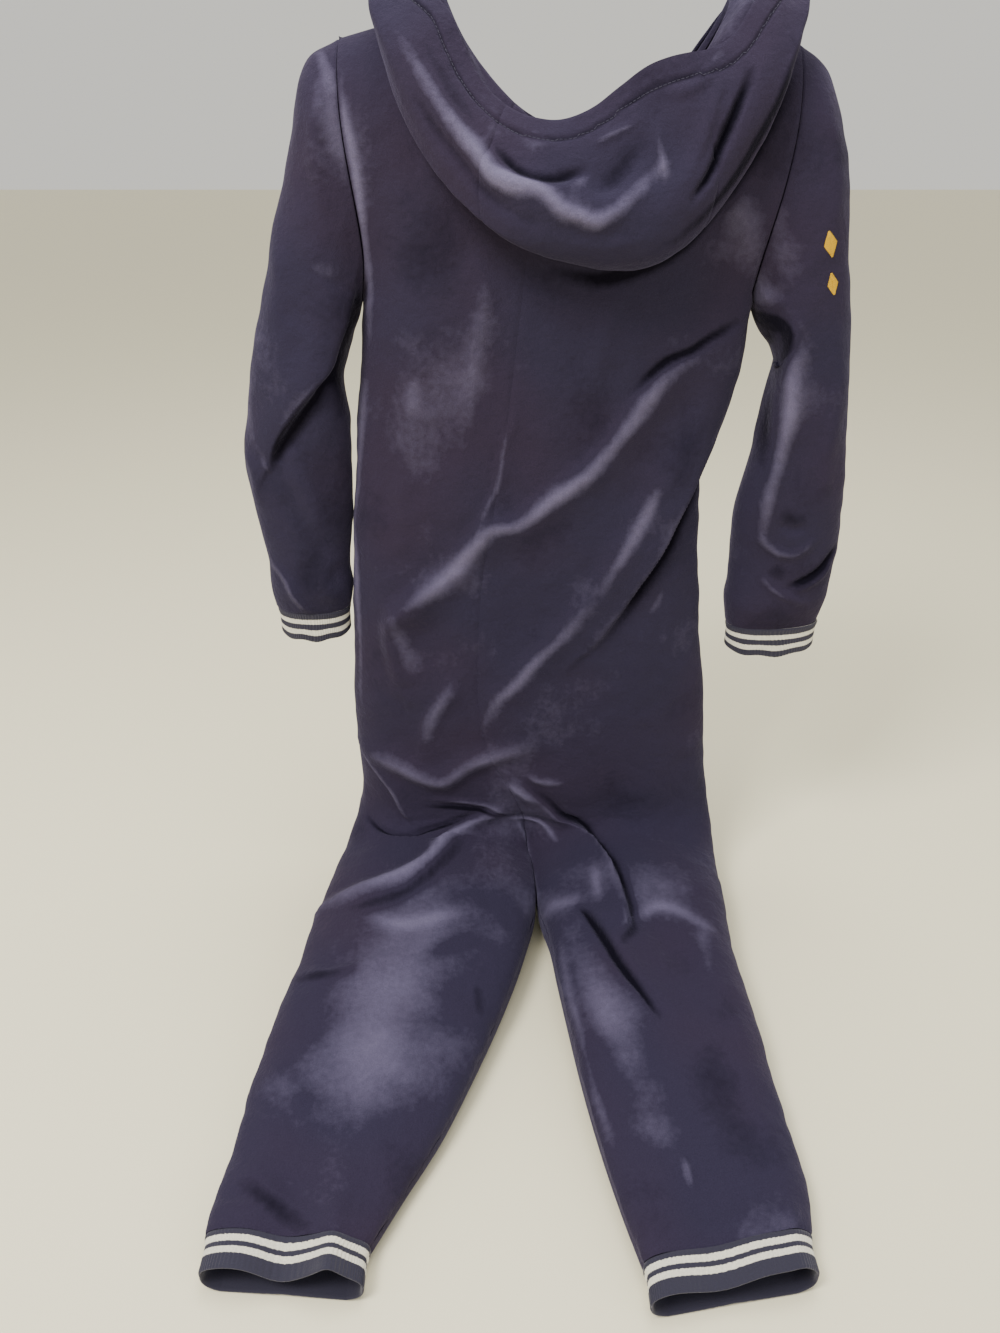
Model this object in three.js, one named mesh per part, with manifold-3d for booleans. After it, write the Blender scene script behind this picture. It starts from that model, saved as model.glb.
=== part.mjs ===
// Hooded one-piece pajama with a front zip, hung at the neck, its legs lying forward on a table.
// Millimetres, +Z up. The back of the garment faces -Y. The origin is where it is held at the neck.
import * as THREE from 'three'
import { mergeVertices } from 'three/addons/utils/BufferGeometryUtils.js'
import Module from 'manifold-3d'

const wasm = await Module()
wasm.setup()

// driving sizes
const wall = 2.4
const seamGap = 0.3
const clearance = 0.3
const floorZ = -795
const armpitZ = -214
const neckCentreX = 8
const neckHalfWidth = 104
const neckSideZ = -14
const neckDrop = 91
const napeDepth = 50
const throatDepth = 44
const napeAngle = -20
const throatAngle = 178
const bodyColumns = 10
const neckColumns = 6
const zipHalfGap = 5
const zipEnd = 650

const navy = 0x35304a
const cream = 0xe8e4cf
const metal = 0x8d8a86

const rad = (degrees) => degrees * Math.PI / 180
const lerp = (a, b, t) => a + (b - a) * t
const clamp = (v, low, high) => Math.min(Math.max(v, low), high)
const power = (v, n) => Math.sign(v) * Math.pow(Math.abs(v), n)
const smooth = (t) => t * t * (3 - 2 * t)
const table = (columns, rows) => rows.map((row) => Object.fromEntries(row.map((v, k) => [columns[k], v])))

// Sections of the body, from the armpits down the back, round the seat and along the legs.
// along: mm down the cloth. y, z, tilt: the spine and how far it has turned towards the camera.
// split: half the gap between the legs. back, front: half depths.
// wrap: how far a half section closes, 90 on the torso, 180 on a leg.
const bodyRows = table(
  ['along', 'y', 'z', 'tilt', 'leftOut', 'rightOut', 'backMid', 'frontMid',
    'split', 'back', 'front', 'wrap'],
  [
    [214, 0, -214, 0, -167, 147, -39, 4, 0, 50, 42, 90],
    [260, 0, -260, 0, -171, 137, -44, 2, 0, 46, 40, 90],
    [320, 0, -320, 0, -178, 125, -51, -4, 0, 42, 38, 90],
    [380, 0, -380, 0, -184, 122, -60, -10, 0, 40, 37, 90],
    [440, 0, -440, 0, -190, 127, -70, -12, 0, 38, 36, 90],
    [510, 0, -510, 0, -195, 136, -75, -14, 0, 37, 36, 90],
    [580, 0, -580, 0, -198, 145, -75, -18, 0, 38, 36, 90],
    [640, 0, -640, 0, -197, 152, -62, -24, 0, 38, 36, 96],
    [670, 0, -670, 0, -197, 156, -45, -28, 0, 38, 36, 104],
    [697, 0, -697, 0, -199, 160, -35, -30, 0, 37, 36, 118],
    [721, -4.7, -720.7, 22.5, -204, 163, -31, -30, 0, 36, 36, 138],
    [746, -18.2, -740.8, 45, -211, 165, -29, -29, 0, 36, 36, 158],
    [770, -38.3, -754.3, 67.5, -217, 166, -27, -27, 0, 38, 37, 174],
    [794, -62, -759, 90, -221, 166, -23, -23, 0.3, 39, 39, 180],
    [824, -92, -760, 90, -226, 164, -20, -20, 0.5, 39, 40, 180],
    [850, -118, -761, 90, -230, 163, -19, -19, 2, 38, 40, 180],
    [885, -153, -762, 90, -235, 162, -19, -19, 10, 36, 39, 180],
    [925, -193, -764, 90, -240, 162, -22, -22, 18, 33, 37, 180],
    [975, -243, -767, 90, -247, 163, -27, -27, 30, 29, 33, 180],
    [1025, -293, -771, 90, -253, 165, -33, -33, 44, 25, 28, 180],
    [1075, -343, -774, 90, -257, 167, -39, -39, 60, 21, 25, 180],
    [1120, -388, -777, 90, -260, 168, -46, -46, 78, 18, 21, 180],
    [1160, -428, -778, 90, -262, 164, -51, -51, 94, 16, 20, 180]
  ]
)
const legEnd = bodyRows[bodyRows.length - 1].along
const slantFrom = 900

// The chest above the armpits. part: 0 at the shoulder seam, 1 at the armpit.
// turn: the angle round the section at which the panel meets the armhole.
const chestRows = [
  { part: 0, leftEdge: -172, rightEdge: 162, back: 56, front: 46, turn: 42 },
  { part: 0.25, leftEdge: -167, rightEdge: 160, back: 56, front: 47, turn: 40 },
  { part: 0.55, leftEdge: -162, rightEdge: 154, back: 55, front: 46, turn: 36 },
  { part: 0.8, leftEdge: -161, rightEdge: 149, back: 52, front: 44, turn: 24 },
  { part: 0.93, leftEdge: -164, rightEdge: 147, back: 51, front: 43, turn: 12 },
  { part: 1, leftEdge: -167, rightEdge: 147, back: 50, front: 42, turn: 0 }
]
const shoulderTipZ = { left: -33, right: -36 }

// Sections of the sleeves below the armhole: the edge by the body, the outer edge and the depth.
const sleeveRows = {
  left: [
    { inX: -172, inZ: -214, outX: -172, outZ: -33, y: 0, depth: 34 },
    { inX: -176, inZ: -222, outX: -199, outZ: -50, y: -1, depth: 36 },
    { inX: -180, inZ: -234, outX: -214, outZ: -98, y: -2, depth: 37 },
    { inX: -184, inZ: -252, outX: -229, outZ: -152, y: -3, depth: 36 },
    { inX: -187, inZ: -278, outX: -247, outZ: -212, y: -4, depth: 34 },
    { inX: -187, inZ: -312, outX: -264, outZ: -272, y: -4, depth: 31 },
    { inX: -187, inZ: -350, outX: -275, outZ: -330, y: -3, depth: 28 },
    { inX: -189, inZ: -392, outX: -273, outZ: -382, y: -2, depth: 26 },
    { inX: -193, inZ: -436, outX: -267, outZ: -432, y: 0, depth: 25 },
    { inX: -196, inZ: -486, outX: -264, outZ: -486, y: 2, depth: 22 }
  ],
  right: [
    { inX: 152, inZ: -214, outX: 162, outZ: -36, y: 0, depth: 34 },
    { inX: 166, inZ: -227, outX: 184, outZ: -52, y: -1, depth: 36 },
    { inX: 176, inZ: -233, outX: 201, outZ: -88, y: -2, depth: 36 },
    { inX: 178, inZ: -246, outX: 212, outZ: -132, y: -2, depth: 35 },
    { inX: 174, inZ: -268, outX: 223, outZ: -190, y: -2, depth: 33 },
    { inX: 168, inZ: -302, outX: 234, outZ: -256, y: -2, depth: 30 },
    { inX: 163, inZ: -348, outX: 243, outZ: -326, y: -1, depth: 28 },
    { inX: 156, inZ: -396, outX: 250, outZ: -388, y: 0, depth: 27 },
    { inX: 156, inZ: -446, outX: 252, outZ: -440, y: 1, depth: 25 },
    { inX: 160, inZ: -504, outX: 246, outZ: -500, y: 2, depth: 22 }
  ]
}

// The rib cuffs go on from the sleeve's or the leg's last section, drawn in by this much a side.
const sleeveCuff = { length: 24, drawnIn: 1.5, dip: 4 }
const legCuff = { length: 27, drawnIn: 2 }
const legSlant = { left: 8, right: 20 }

// The fallen hood, section by section round the neck. Angle 0 is the back. Out is away from the
// neck, and down is below the neck seam: the layer that lies on the back, the lowest fold, the
// ridge, the valley above it and the free rim.
const hoodRows = table(
  ['angle', 'layOut', 'layDown', 'lowOut', 'lowDown', 'ridgeOut', 'ridgeDown',
    'valleyOut', 'valleyDown', 'rimOut', 'rimDown'],
  [
    [-176, 4, 1, 10, 9, 16, 2, 15, -5, 11, -12],
    [-135, 10, 6, 24, 19, 34, 6, 30, -6, 18, -18],
    [-110, 12, 2, 30, 6, 40, -7, 31, -15, 16, -20],
    [-90, 14, 0, 36, 2, 46, -13, 33, -20, 15, -22],
    [-75, 15, 5, 46, 17, 54, -1, 35, -12, 14, -19],
    [-60, 15, 13, 53, 33, 56, 9, 35, -4, 13, -12],
    [-30, 9, 40, 50, 66, 56, 38, 34, 15, 16, -6],
    [0, 8, 46, 30, 74, 50, 44, 34, 14, 16, -23],
    [18, 8, 52, 31, 85, 52, 53, 34, 18, 16, -53],
    [28, 9, 53, 33, 87, 52, 55, 34, 20, 17, -41],
    [55, 12, 32, 39, 64, 45, 38, 33, 14, 18, -7],
    [75, 14, 9, 37, 27, 45, 9, 35, -5, 20, -12],
    [95, 14, 2, 32, 9, 42, -6, 32, -15, 18, -20],
    [115, 12, 3, 28, 11, 38, -4, 30, -13, 17, -19],
    [135, 10, 6, 24, 17, 33, 4, 28, -7, 17, -18],
    [172, 4, 1, 10, 9, 16, 2, 15, -5, 11, -12]
  ]
)
const hoodSeams = { left: -30, right: 36 }
const hoodRest = 5.5
const seamKnots = 4
const lowKnot = 7
const seamRest = 3
const shoulderRise = 2
const hoodGap = 0.22
const rimGap = 0.8

// The largest folds on the back, from the armhole down to the knee: height out of the cloth, the
// width on the left and the right of the path, and the path as x and mm along the cloth.
const backFolds = table(['height', 'left', 'right', 'path'], [
  [9, 26, 20, [[112, 262], [60, 306], [8, 350], [-42, 378], [-74, 412]]],
  [6, 22, 20, [[96, 330], [36, 415], [-6, 480], [-44, 545], [-74, 590]]],
  [10, 14, 34, [[-96, 440], [-140, 474], [-160, 500], [-148, 560]]],
  [8, 44, 9, [[134, 226], [118, 320], [92, 410], [48, 500]]],
  [9, 20, 16, [[-170, 660], [-120, 692], [-76, 694]]],
  [9, 22, 16, [[-214, 850], [-150, 816], [-92, 790], [-50, 768]]],
  [7, 22, 10, [[-16, 742], [28, 770], [66, 830], [80, 892]]],
  [-7, 20, 26, [[40, 850], [78, 900], [112, 955]]]
])

const sectionPower = (tilt, face) => (face < 0 ? 2 / 2.5 : 2 / lerp(2.5, 3.4, tilt / 90))

// A smooth curve through one column of a table.
function valueAt (rows, key, column, at) {
  const last = rows.length - 1
  const x = clamp(at, rows[0][key], rows[last][key])
  let i = 0
  while (i < last - 1 && rows[i + 1][key] < x) i += 1
  const slope = (k) => {
    const low = rows[Math.max(k - 1, 0)]
    const high = rows[Math.min(k + 1, last)]
    return (high[column] - low[column]) / (high[key] - low[key])
  }
  const width = rows[i + 1][key] - rows[i][key]
  const t = (x - rows[i][key]) / width
  const t2 = t * t
  const t3 = t2 * t
  return rows[i][column] * (2 * t3 - 3 * t2 + 1) + slope(i) * width * (t3 - 2 * t2 + t) +
    rows[i + 1][column] * (3 * t2 - 2 * t3) + slope(i + 1) * width * (t3 - t2)
}

// The neck seam, at an angle round the neck from the back.
function neckPoint (angle) {
  const a = rad(angle)
  const depth = Math.cos(a) > 0 ? napeDepth : throatDepth
  const drop = neckDrop * Math.pow(Math.abs(Math.cos(a)), 1.7)
  const x = neckCentreX + neckHalfWidth * Math.sin(a)
  return new THREE.Vector3(x, -depth * Math.cos(a), neckSideZ - drop)
}

// The shoulder seam, at a part of the way from the neck to the tip.
function shoulderPoint (side, part) {
  const tipX = chestRows[0][side + 'Edge']
  const neckX = neckCentreX + (side === 'left' ? -neckHalfWidth : neckHalfWidth)
  return new THREE.Vector3(lerp(neckX, tipX, part), 0, lerp(neckSideZ, shoulderTipZ[side], part))
}

// One point of the chest. part: down from the shoulder. column: 0 at the armhole, 1 at the middle.
function chestPoint (side, face, part, column) {
  const steps = column * bodyColumns
  const shoulderSteps = bodyColumns - neckColumns
  const sideAngle = side === 'left' ? -90 : 90
  const middleAngle = face < 0 ? napeAngle : (side === 'left' ? throatAngle - 360 : throatAngle)
  const top = steps <= shoulderSteps
    ? shoulderPoint(side, 1 - steps / shoulderSteps)
    : neckPoint(lerp(sideAngle, middleAngle, (steps - shoulderSteps) / neckColumns))
  const turn = valueAt(chestRows, 'part', 'turn', part)
  const edge = valueAt(chestRows, 'part', side + 'Edge', part)
  const depth = valueAt(chestRows, 'part', face < 0 ? 'back' : 'front', part)
  const angle = rad(lerp(turn, 90, column))
  const n = sectionPower(0, face)
  const across = power(Math.cos(angle), n) / power(Math.cos(rad(turn)), n)
  const middleX = lerp(neckPoint(middleAngle).x, bodyRows[0][face < 0 ? 'backMid' : 'frontMid'], part)
  const ringX = lerp(middleX, edge, across)
  const round = Math.sqrt(1 - Math.pow(1 - clamp(part / 0.36, 0, 1), 2))
  const x = lerp(top.x, ringX, smooth(clamp(part * 1.15, 0, 1)))
  const y = lerp(top.y, face * depth * power(Math.sin(angle), n), round)
  return new THREE.Vector3(x, y, lerp(top.z, armpitZ, part))
}

// One point of a half section below the armpits. column: 0 at the side seam, 1 at the middle.
function bodyPoint (side, face, along, column) {
  const at = (key) => valueAt(bodyRows, 'along', key, along)
  const away = side === 'left' ? -1 : 1
  const wrap = rad(clamp(at('wrap'), 90, 180))
  const angle = wrap * column
  const n = sectionPower(at('tilt'), face)
  const split = Math.max(at('split'), clearance * clamp((at('wrap') - 90) / 30, 0, 1))
  const middle = at(face < 0 ? 'backMid' : 'frontMid') + away * split
  const end = power(Math.cos(wrap), n)
  const half = (at(side + 'Out') - middle) / (1 - end)
  const x = at(side + 'Out') - half + half * power(Math.cos(angle), n)
  const deep = -face * at(face < 0 ? 'back' : 'front') * power(Math.sin(angle), n)
  const tilt = rad(clamp(at('tilt'), 0, 90))
  const p = new THREE.Vector3(x, at('y') - deep * Math.cos(tilt), at('z') + deep * Math.sin(tilt))
  const slant = legSlant[side] * smooth(clamp((along - slantFrom) / (legEnd - slantFrom), 0, 1))
  p.y -= slant * clamp((x - at(side + 'Out')) / (middle - at(side + 'Out')), 0, 1)
  p.z = Math.max(p.z, floorZ)
  return p
}

// How far the folds lift the cloth at a place on the back.
function foldLift (folds, x, along) {
  let lift = 0
  for (const fold of folds) {
    let best = { distance: Infinity, side: 1, part: 0 }
    for (let i = 0; i < fold.path.length - 1; i += 1) {
      const [ax, ay] = fold.path[i]
      const [bx, by] = fold.path[i + 1]
      const length2 = (bx - ax) ** 2 + (by - ay) ** 2
      const t = clamp(((x - ax) * (bx - ax) + (along - ay) * (by - ay)) / length2, 0, 1)
      const distance = Math.hypot(x - lerp(ax, bx, t), along - lerp(ay, by, t))
      if (distance < best.distance) {
        const turn = (bx - ax) * (along - ay) - (by - ay) * (x - ax)
        best = { distance, side: turn, part: (i + t) / (fold.path.length - 1) }
      }
    }
    const width = best.side > 0 ? fold.left : fold.right
    const fade = Math.sin(Math.PI * clamp(best.part, 0, 1)) ** 0.6
    lift += fold.height * fade * Math.exp(-((best.distance / (width * 0.6)) ** 2))
  }
  return lift
}

// Normals of a grid of points. wrapped: the last column joins the first.
function gridNormals (grid, wrapped, flip) {
  const rows = grid.length
  const columns = grid[0].length
  return grid.map((row, i) => row.map((point, j) => {
    const up = grid[Math.max(i - 1, 0)][j]
    const down = grid[Math.min(i + 1, rows - 1)][j]
    const before = row[wrapped ? (j + columns - 1) % columns : Math.max(j - 1, 0)]
    const after = row[wrapped ? (j + 1) % columns : Math.min(j + 1, columns - 1)]
    const normal = new THREE.Vector3().subVectors(after, before)
    normal.cross(new THREE.Vector3().subVectors(down, up)).normalize()
    return normal.multiplyScalar(flip)
  }))
}

// Moves the border points of a grid into the piece, so that pieces lie a seam gap apart.
function drawEdges (grid, amounts) {
  const out = grid.map((row) => row.map((point) => point.clone()))
  const rows = grid.length
  const columns = grid[0].length
  const pull = (i, j, k, l, amount) => {
    const step = new THREE.Vector3().subVectors(grid[k][l], grid[i][j])
    if (step.length() > 1e-6) out[i][j].add(step.setLength(amount))
  }
  for (let j = 0; j < columns; j += 1) {
    if (amounts.top) pull(0, j, 1, j, amounts.top)
    if (amounts.bottom) pull(rows - 1, j, rows - 2, j, amounts.bottom)
  }
  for (let i = 0; i < rows; i += 1) {
    if (amounts.first) pull(i, 0, i, 1, amounts.first(i))
    if (amounts.last) pull(i, columns - 1, i, columns - 2, amounts.last(i))
  }
  return out
}

// A closed wall between an outer and an inner grid of points.
function wallGeometry (outer, inner, wrapped) {
  const rows = outer.length
  const columns = outer[0].length
  const positions = []
  const indices = []
  for (const grid of [outer, inner]) {
    for (const row of grid) {
      for (const p of row) positions.push(p.x, p.y, p.z)
    }
  }
  const at = (layer, i, j) => layer * rows * columns + i * columns + (j % columns)
  const quad = (a, b, c, d) => indices.push(a, b, c, a, c, d)
  const right = columns - 1
  const across = wrapped ? columns : columns - 1
  for (let i = 0; i < rows - 1; i += 1) {
    for (let j = 0; j < across; j += 1) {
      quad(at(0, i, j), at(0, i + 1, j), at(0, i + 1, j + 1), at(0, i, j + 1))
      quad(at(1, i, j), at(1, i, j + 1), at(1, i + 1, j + 1), at(1, i + 1, j))
    }
  }
  for (let j = 0; j < across; j += 1) {
    quad(at(0, 0, j), at(0, 0, j + 1), at(1, 0, j + 1), at(1, 0, j))
    quad(at(0, rows - 1, j), at(1, rows - 1, j), at(1, rows - 1, j + 1), at(0, rows - 1, j + 1))
  }
  if (!wrapped) {
    for (let i = 0; i < rows - 1; i += 1) {
      quad(at(0, i, 0), at(1, i, 0), at(1, i + 1, 0), at(0, i + 1, 0))
      quad(at(0, i, right), at(0, i + 1, right), at(1, i + 1, right), at(1, i, right))
    }
  }
  return outwardGeometry(positions, indices)
}

// Turns the faces outward and gives the geometry its normals.
function outwardGeometry (positions, indices) {
  let volume = 0
  const corner = (k) => new THREE.Vector3().fromArray(positions, 3 * k)
  for (let k = 0; k < indices.length; k += 3) {
    volume += corner(indices[k]).dot(corner(indices[k + 1]).cross(corner(indices[k + 2])))
  }
  if (volume < 0) {
    for (let k = 0; k < indices.length; k += 3) {
      [indices[k], indices[k + 1]] = [indices[k + 1], indices[k]]
    }
  }
  const geometry = new THREE.BufferGeometry()
  geometry.setAttribute('position', new THREE.Float32BufferAttribute(positions, 3))
  geometry.setIndex(indices)
  geometry.computeVertexNormals()
  return geometry
}

const part = new THREE.Group()

function addPiece (name, geometry, color, roughness = 0.95, metalness = 0) {
  const mesh = new THREE.Mesh(geometry, new THREE.MeshStandardMaterial({ color, roughness, metalness }))
  mesh.name = name
  part.add(mesh)
  return mesh
}

// the rows of points down the whole garment: chest, torso, seat and legs
const chestParts = [0, 0.03, 0.08, 0.16, 0.27, 0.4, 0.55, 0.7, 0.82, 0.92, 1]
const bodyAlongs = []
for (let along = 240; along < 700; along += 26) bodyAlongs.push(along)
for (let along = 708; along < 800; along += 12) bodyAlongs.push(along)
for (let along = 812; along < legEnd - 10; along += 25) bodyAlongs.push(along)
bodyAlongs.push(legEnd)

// The half of the body on one side, from the centre back round the side to the centre front.
function bodyGrid (side) {
  const columns = []
  for (let j = bodyColumns; j >= 0; j -= 1) columns.push({ face: -1, column: j / bodyColumns })
  for (let j = 1; j <= bodyColumns; j += 1) columns.push({ face: 1, column: j / bodyColumns })
  const chest = chestParts.map((p) => columns.map((c) => chestPoint(side, c.face, p, c.column)))
  const lower = bodyAlongs.map((a) => columns.map((c) => bodyPoint(side, c.face, a, c.column)))
  return [...chest, ...lower]
}

const rowAlong = (i) => {
  const below = i - chestParts.length
  return below < 0 ? lerp(100, -armpitZ, chestParts[i]) : bodyAlongs[below]
}

// The folds lift the back, but never its side edge or over the middle between the legs.
function liftBack (base, flip) {
  const normals = gridNormals(base, false, flip)
  return base.map((row, i) => row.map((point, j) => {
    const p = point.clone()
    if (i < 3 || j >= bodyColumns - 1) return p
    const n = normals[i][j].clone()
    if (j === 0) n.x = 0
    p.addScaledVector(n, foldLift(backFolds, p.x, i < chestParts.length ? -p.z : rowAlong(i)))
    p.x = flip > 0 ? Math.min(p.x, row[0].x) : Math.max(p.x, row[0].x)
    p.z = Math.max(p.z, floorZ)
    return p
  }))
}

// The outer and inner points of one side's back and front.
function bodyPanels (side) {
  const flip = side === 'left' ? 1 : -1
  const outer = liftBack(bodyGrid(side), flip)
  const last = outer[0].length - 1
  const normals = gridNormals(outer, false, flip)
  const inner = outer.map((row, i) => row.map((p, j) => {
    const n = normals[i][j].clone()
    if ((j === 0 || j === last) && row[0].distanceTo(row[last]) < 3 * wall) n.add(normals[i][last - j])
    if (j === 0 || j === last) n.x = flip * Math.max(flip * n.x, 0)
    if (i === 0 && Math.abs(p.y) < 1e-6) n.y = 0
    if (i < chestParts.length && j === bodyColumns) n.x = -flip * Math.max(-flip * n.x, 0)
    if (i === outer.length - 1) {
      const across = row[0].clone().sub(row[bodyColumns])
      const axis = across.cross(new THREE.Vector3(0, 0, 1)).normalize()
      n.addScaledVector(axis, -n.dot(axis))
    }
    return p.clone().addScaledVector(n.normalize(), -wall)
  }))
  const cut = (points, from, to) => points.map((row) => row.slice(from, to + 1))
  return {
    back: [cut(outer, 0, bodyColumns), cut(inner, 0, bodyColumns)],
    front: [cut(outer, bodyColumns, last), cut(inner, bodyColumns, last)]
  }
}

const halfGap = seamGap / 2
const panels = { left: bodyPanels('left'), right: bodyPanels('right') }
const zipWidth = (i) => halfGap + zipHalfGap * smooth(clamp((zipEnd - rowAlong(i)) / 40, 0, 1))

function addPanel (name, [outer, inner], edges) {
  addPiece(name, wallGeometry(drawEdges(outer, edges), drawEdges(inner, edges), false), navy)
}

const seamEdges = { top: halfGap, bottom: halfGap, first: () => halfGap, last: () => halfGap }
for (const side of ['left', 'right']) {
  addPanel('back_' + side, panels[side].back, seamEdges)
  addPanel('front_' + side, panels[side].front, { ...seamEdges, last: zipWidth })
}

// The sleeve's columns, one for each row of the chest panels that it is sewn to.
const sleeveTurns = [
  ...chestParts.map((part) => ({ face: -1, part })),
  ...chestParts.slice(1, -1).reverse().map((part) => ({ face: 1, part }))
]

// A ring of points round two edges, out edge first, then the back, the inner edge and the front.
function ringPoints (row, n = 2 / 2.3) {
  const centre = new THREE.Vector3((row.inX + row.outX) / 2, row.y, (row.inZ + row.outZ) / 2)
  const reach = new THREE.Vector3((row.outX - row.inX) / 2, 0, (row.outZ - row.inZ) / 2)
  return sleeveTurns.map(({ face, part }) => {
    const angle = Math.acos(1 - 2 * part)
    const p = centre.clone().addScaledVector(reach, power(Math.cos(angle), n))
    p.y += face * row.depth * power(Math.sin(angle), n)
    return p
  })
}

// The armhole, point for point on the edge of the chest panels.
function armholeRing (side) {
  return sleeveTurns.map(({ face, part }) => chestPoint(side, face, part, 0))
}

// A wall round a list of rings, its two ends cut square to the tube.
function tubeGeometry (rings, thickness, flatStart = false) {
  const centre = rings[0].reduce((sum, p) => sum.add(p), new THREE.Vector3()).divideScalar(rings[0].length)
  const raw = gridNormals(rings, true, 1)
  const flip = Math.sign(raw[0][0].dot(new THREE.Vector3().subVectors(rings[0][0], centre)))
  const last = rings.length - 1
  const inner = rings.map((ring, i) => ring.map((p, j) => {
    const n = raw[i][j].clone().multiplyScalar(flip)
    if (i === 0 || i === last) {
      const quarter = ring.length / 4
      const along = new THREE.Vector3().subVectors(ring[2 * quarter], ring[0])
      along.cross(new THREE.Vector3().subVectors(ring[3 * quarter], ring[quarter])).normalize()
      n.addScaledVector(along, -n.dot(along))
      if (i === 0 && flatStart) n.x = 0
      n.normalize()
    }
    return p.clone().addScaledVector(n, -thickness)
  }))
  const edges = { top: halfGap, bottom: halfGap }
  return wallGeometry(drawEdges(rings, edges), drawEdges(inner, edges), true)
}

// The sleeve's rings, from the armhole through the rows of its table, with rings in between.
function sleeveRings (side) {
  const rows = sleeveRows[side].map((row, i) => ({ ...row, step: i }))
  const start = armholeRing(side)
  const flat = ringPoints(rows[0])
  const rings = [start]
  for (let step = 0.5; step <= rows.length - 1; step += 0.5) {
    const row = {}
    for (const key of Object.keys(rows[0])) row[key] = valueAt(rows, 'step', key, step)
    const ring = ringPoints(row)
    const left = 1 - smooth(Math.min(step / 2, 1))
    ring.forEach((p, j) => p.add(start[j].clone().sub(flat[j]).multiplyScalar(left)))
    rings.push(ring)
  }
  return rings
}

// The rings of a cuff that goes on from a ring, with its mouth a little narrower.
function cuffRings (start, { length, drawnIn }, direction, wave) {
  const centre = start.reduce((sum, p) => sum.add(p), new THREE.Vector3()).divideScalar(start.length)
  return [0, 0.15, 0.5, 1].map((part) => start.map((p, j) => {
    const out = p.clone().sub(centre)
    const q = p.clone().addScaledVector(out.setLength(1), -drawnIn * smooth(Math.min(part * 3, 1)))
    q.addScaledVector(direction, length * part)
    q.z += wave(j / start.length, part)
    return q
  }))
}

for (const side of ['left', 'right']) {
  const rings = sleeveRings(side)
  const end = rings[rings.length - 1]
  addPiece('sleeve_' + side, tubeGeometry(rings, wall, true), navy)
  const dip = (turn, part) => -sleeveCuff.dip * part * Math.sin(2 * Math.PI * turn) ** 2
  const cuff = cuffRings(end, sleeveCuff, new THREE.Vector3(0, 0, -1), dip)
  addPiece('sleeve_cuff_' + side, tubeGeometry(cuff, wall), cream)
}

// The last section of a leg as a ring: its back, then its front the other way round.
function legEndRing (side) {
  const ring = []
  for (let j = 0; j <= bodyColumns; j += 1) ring.push(bodyPoint(side, -1, legEnd, j / bodyColumns))
  for (let j = bodyColumns - 1; j > 0; j -= 1) ring.push(bodyPoint(side, 1, legEnd, j / bodyColumns))
  return ring
}

for (const side of ['left', 'right']) {
  const ring = legEndRing(side)
  const cuff = cuffRings(ring, legCuff, new THREE.Vector3(0, -1, 0), () => 0)
  for (const points of cuff) {
    for (const p of points) p.z = Math.max(p.z, floorZ)
  }
  addPiece('leg_cuff_' + side, tubeGeometry(cuff, wall), cream)
}

// One section of the hood: the neck seam, over and down the back, round the low fold, and up
// over the ridge and the valley to the rim.
function hoodSection (angle) {
  const at = (key) => valueAt(hoodRows, 'angle', key, angle)
  const start = neckSeamPoint(angle)
  const out = new THREE.Vector3(Math.sin(rad(angle)), -Math.cos(rad(angle)), 0)
  const size = clamp(at('lowOut') / 30, 0.3, 1)
  const knots = [
    [0, 0],
    [0.2 * size, -4.4 * size],
    [2.8 * size, -6.6 * size],
    [6 * size, -5 * size],
    [lerp(6.4 * size, at('layOut'), 0.4), lerp(0, at('layDown'), 0.35)],
    [at('layOut'), at('layDown')],
    [lerp(at('layOut'), at('lowOut'), 0.45), lerp(at('layDown'), at('lowDown'), 0.8)],
    [at('lowOut'), at('lowDown')],
    [lerp(at('lowOut'), at('ridgeOut'), 0.7), lerp(at('lowDown'), at('ridgeDown'), 0.32)],
    [at('ridgeOut'), at('ridgeDown')],
    [lerp(at('ridgeOut'), at('valleyOut'), 0.3), lerp(at('ridgeDown'), at('valleyDown'), 0.5)],
    [at('valleyOut'), at('valleyDown')],
    [lerp(at('valleyOut'), at('rimOut'), 0.4), lerp(at('valleyDown'), at('rimDown'), 0.5)],
    [at('rimOut'), at('rimDown')]
  ]
  return knots.map(([o, d], i) => {
    const p = start.clone().addScaledVector(out, o)
    p.z += seamGap - d
    if (i > 0 && i < 6) p.z += shoulderRise * Math.sin(rad(angle)) ** 2
    return p
  })
}

// The hood's columns meet the columns of the panels at the neck seam, with more over the back.
const neckAngles = []
for (let k = 0; k <= neckColumns; k += 1) neckAngles.push(lerp(throatAngle - 360, -90, k / neckColumns))
for (let k = 1; k <= neckColumns; k += 1) neckAngles.push(lerp(-90, napeAngle, k / neckColumns))
for (let k = 1; k <= neckColumns; k += 1) neckAngles.push(lerp(napeAngle, 90, k / neckColumns))
for (let k = 1; k <= neckColumns; k += 1) neckAngles.push(lerp(90, throatAngle, k / neckColumns))

// A point on the straight stitches between those columns.
function neckSeamPoint (angle) {
  let k = 0
  while (k < neckAngles.length - 2 && neckAngles[k + 1] < angle) k += 1
  const t = (angle - neckAngles[k]) / (neckAngles[k + 1] - neckAngles[k])
  return neckPoint(neckAngles[k]).lerp(neckPoint(neckAngles[k + 1]), t)
}

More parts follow.
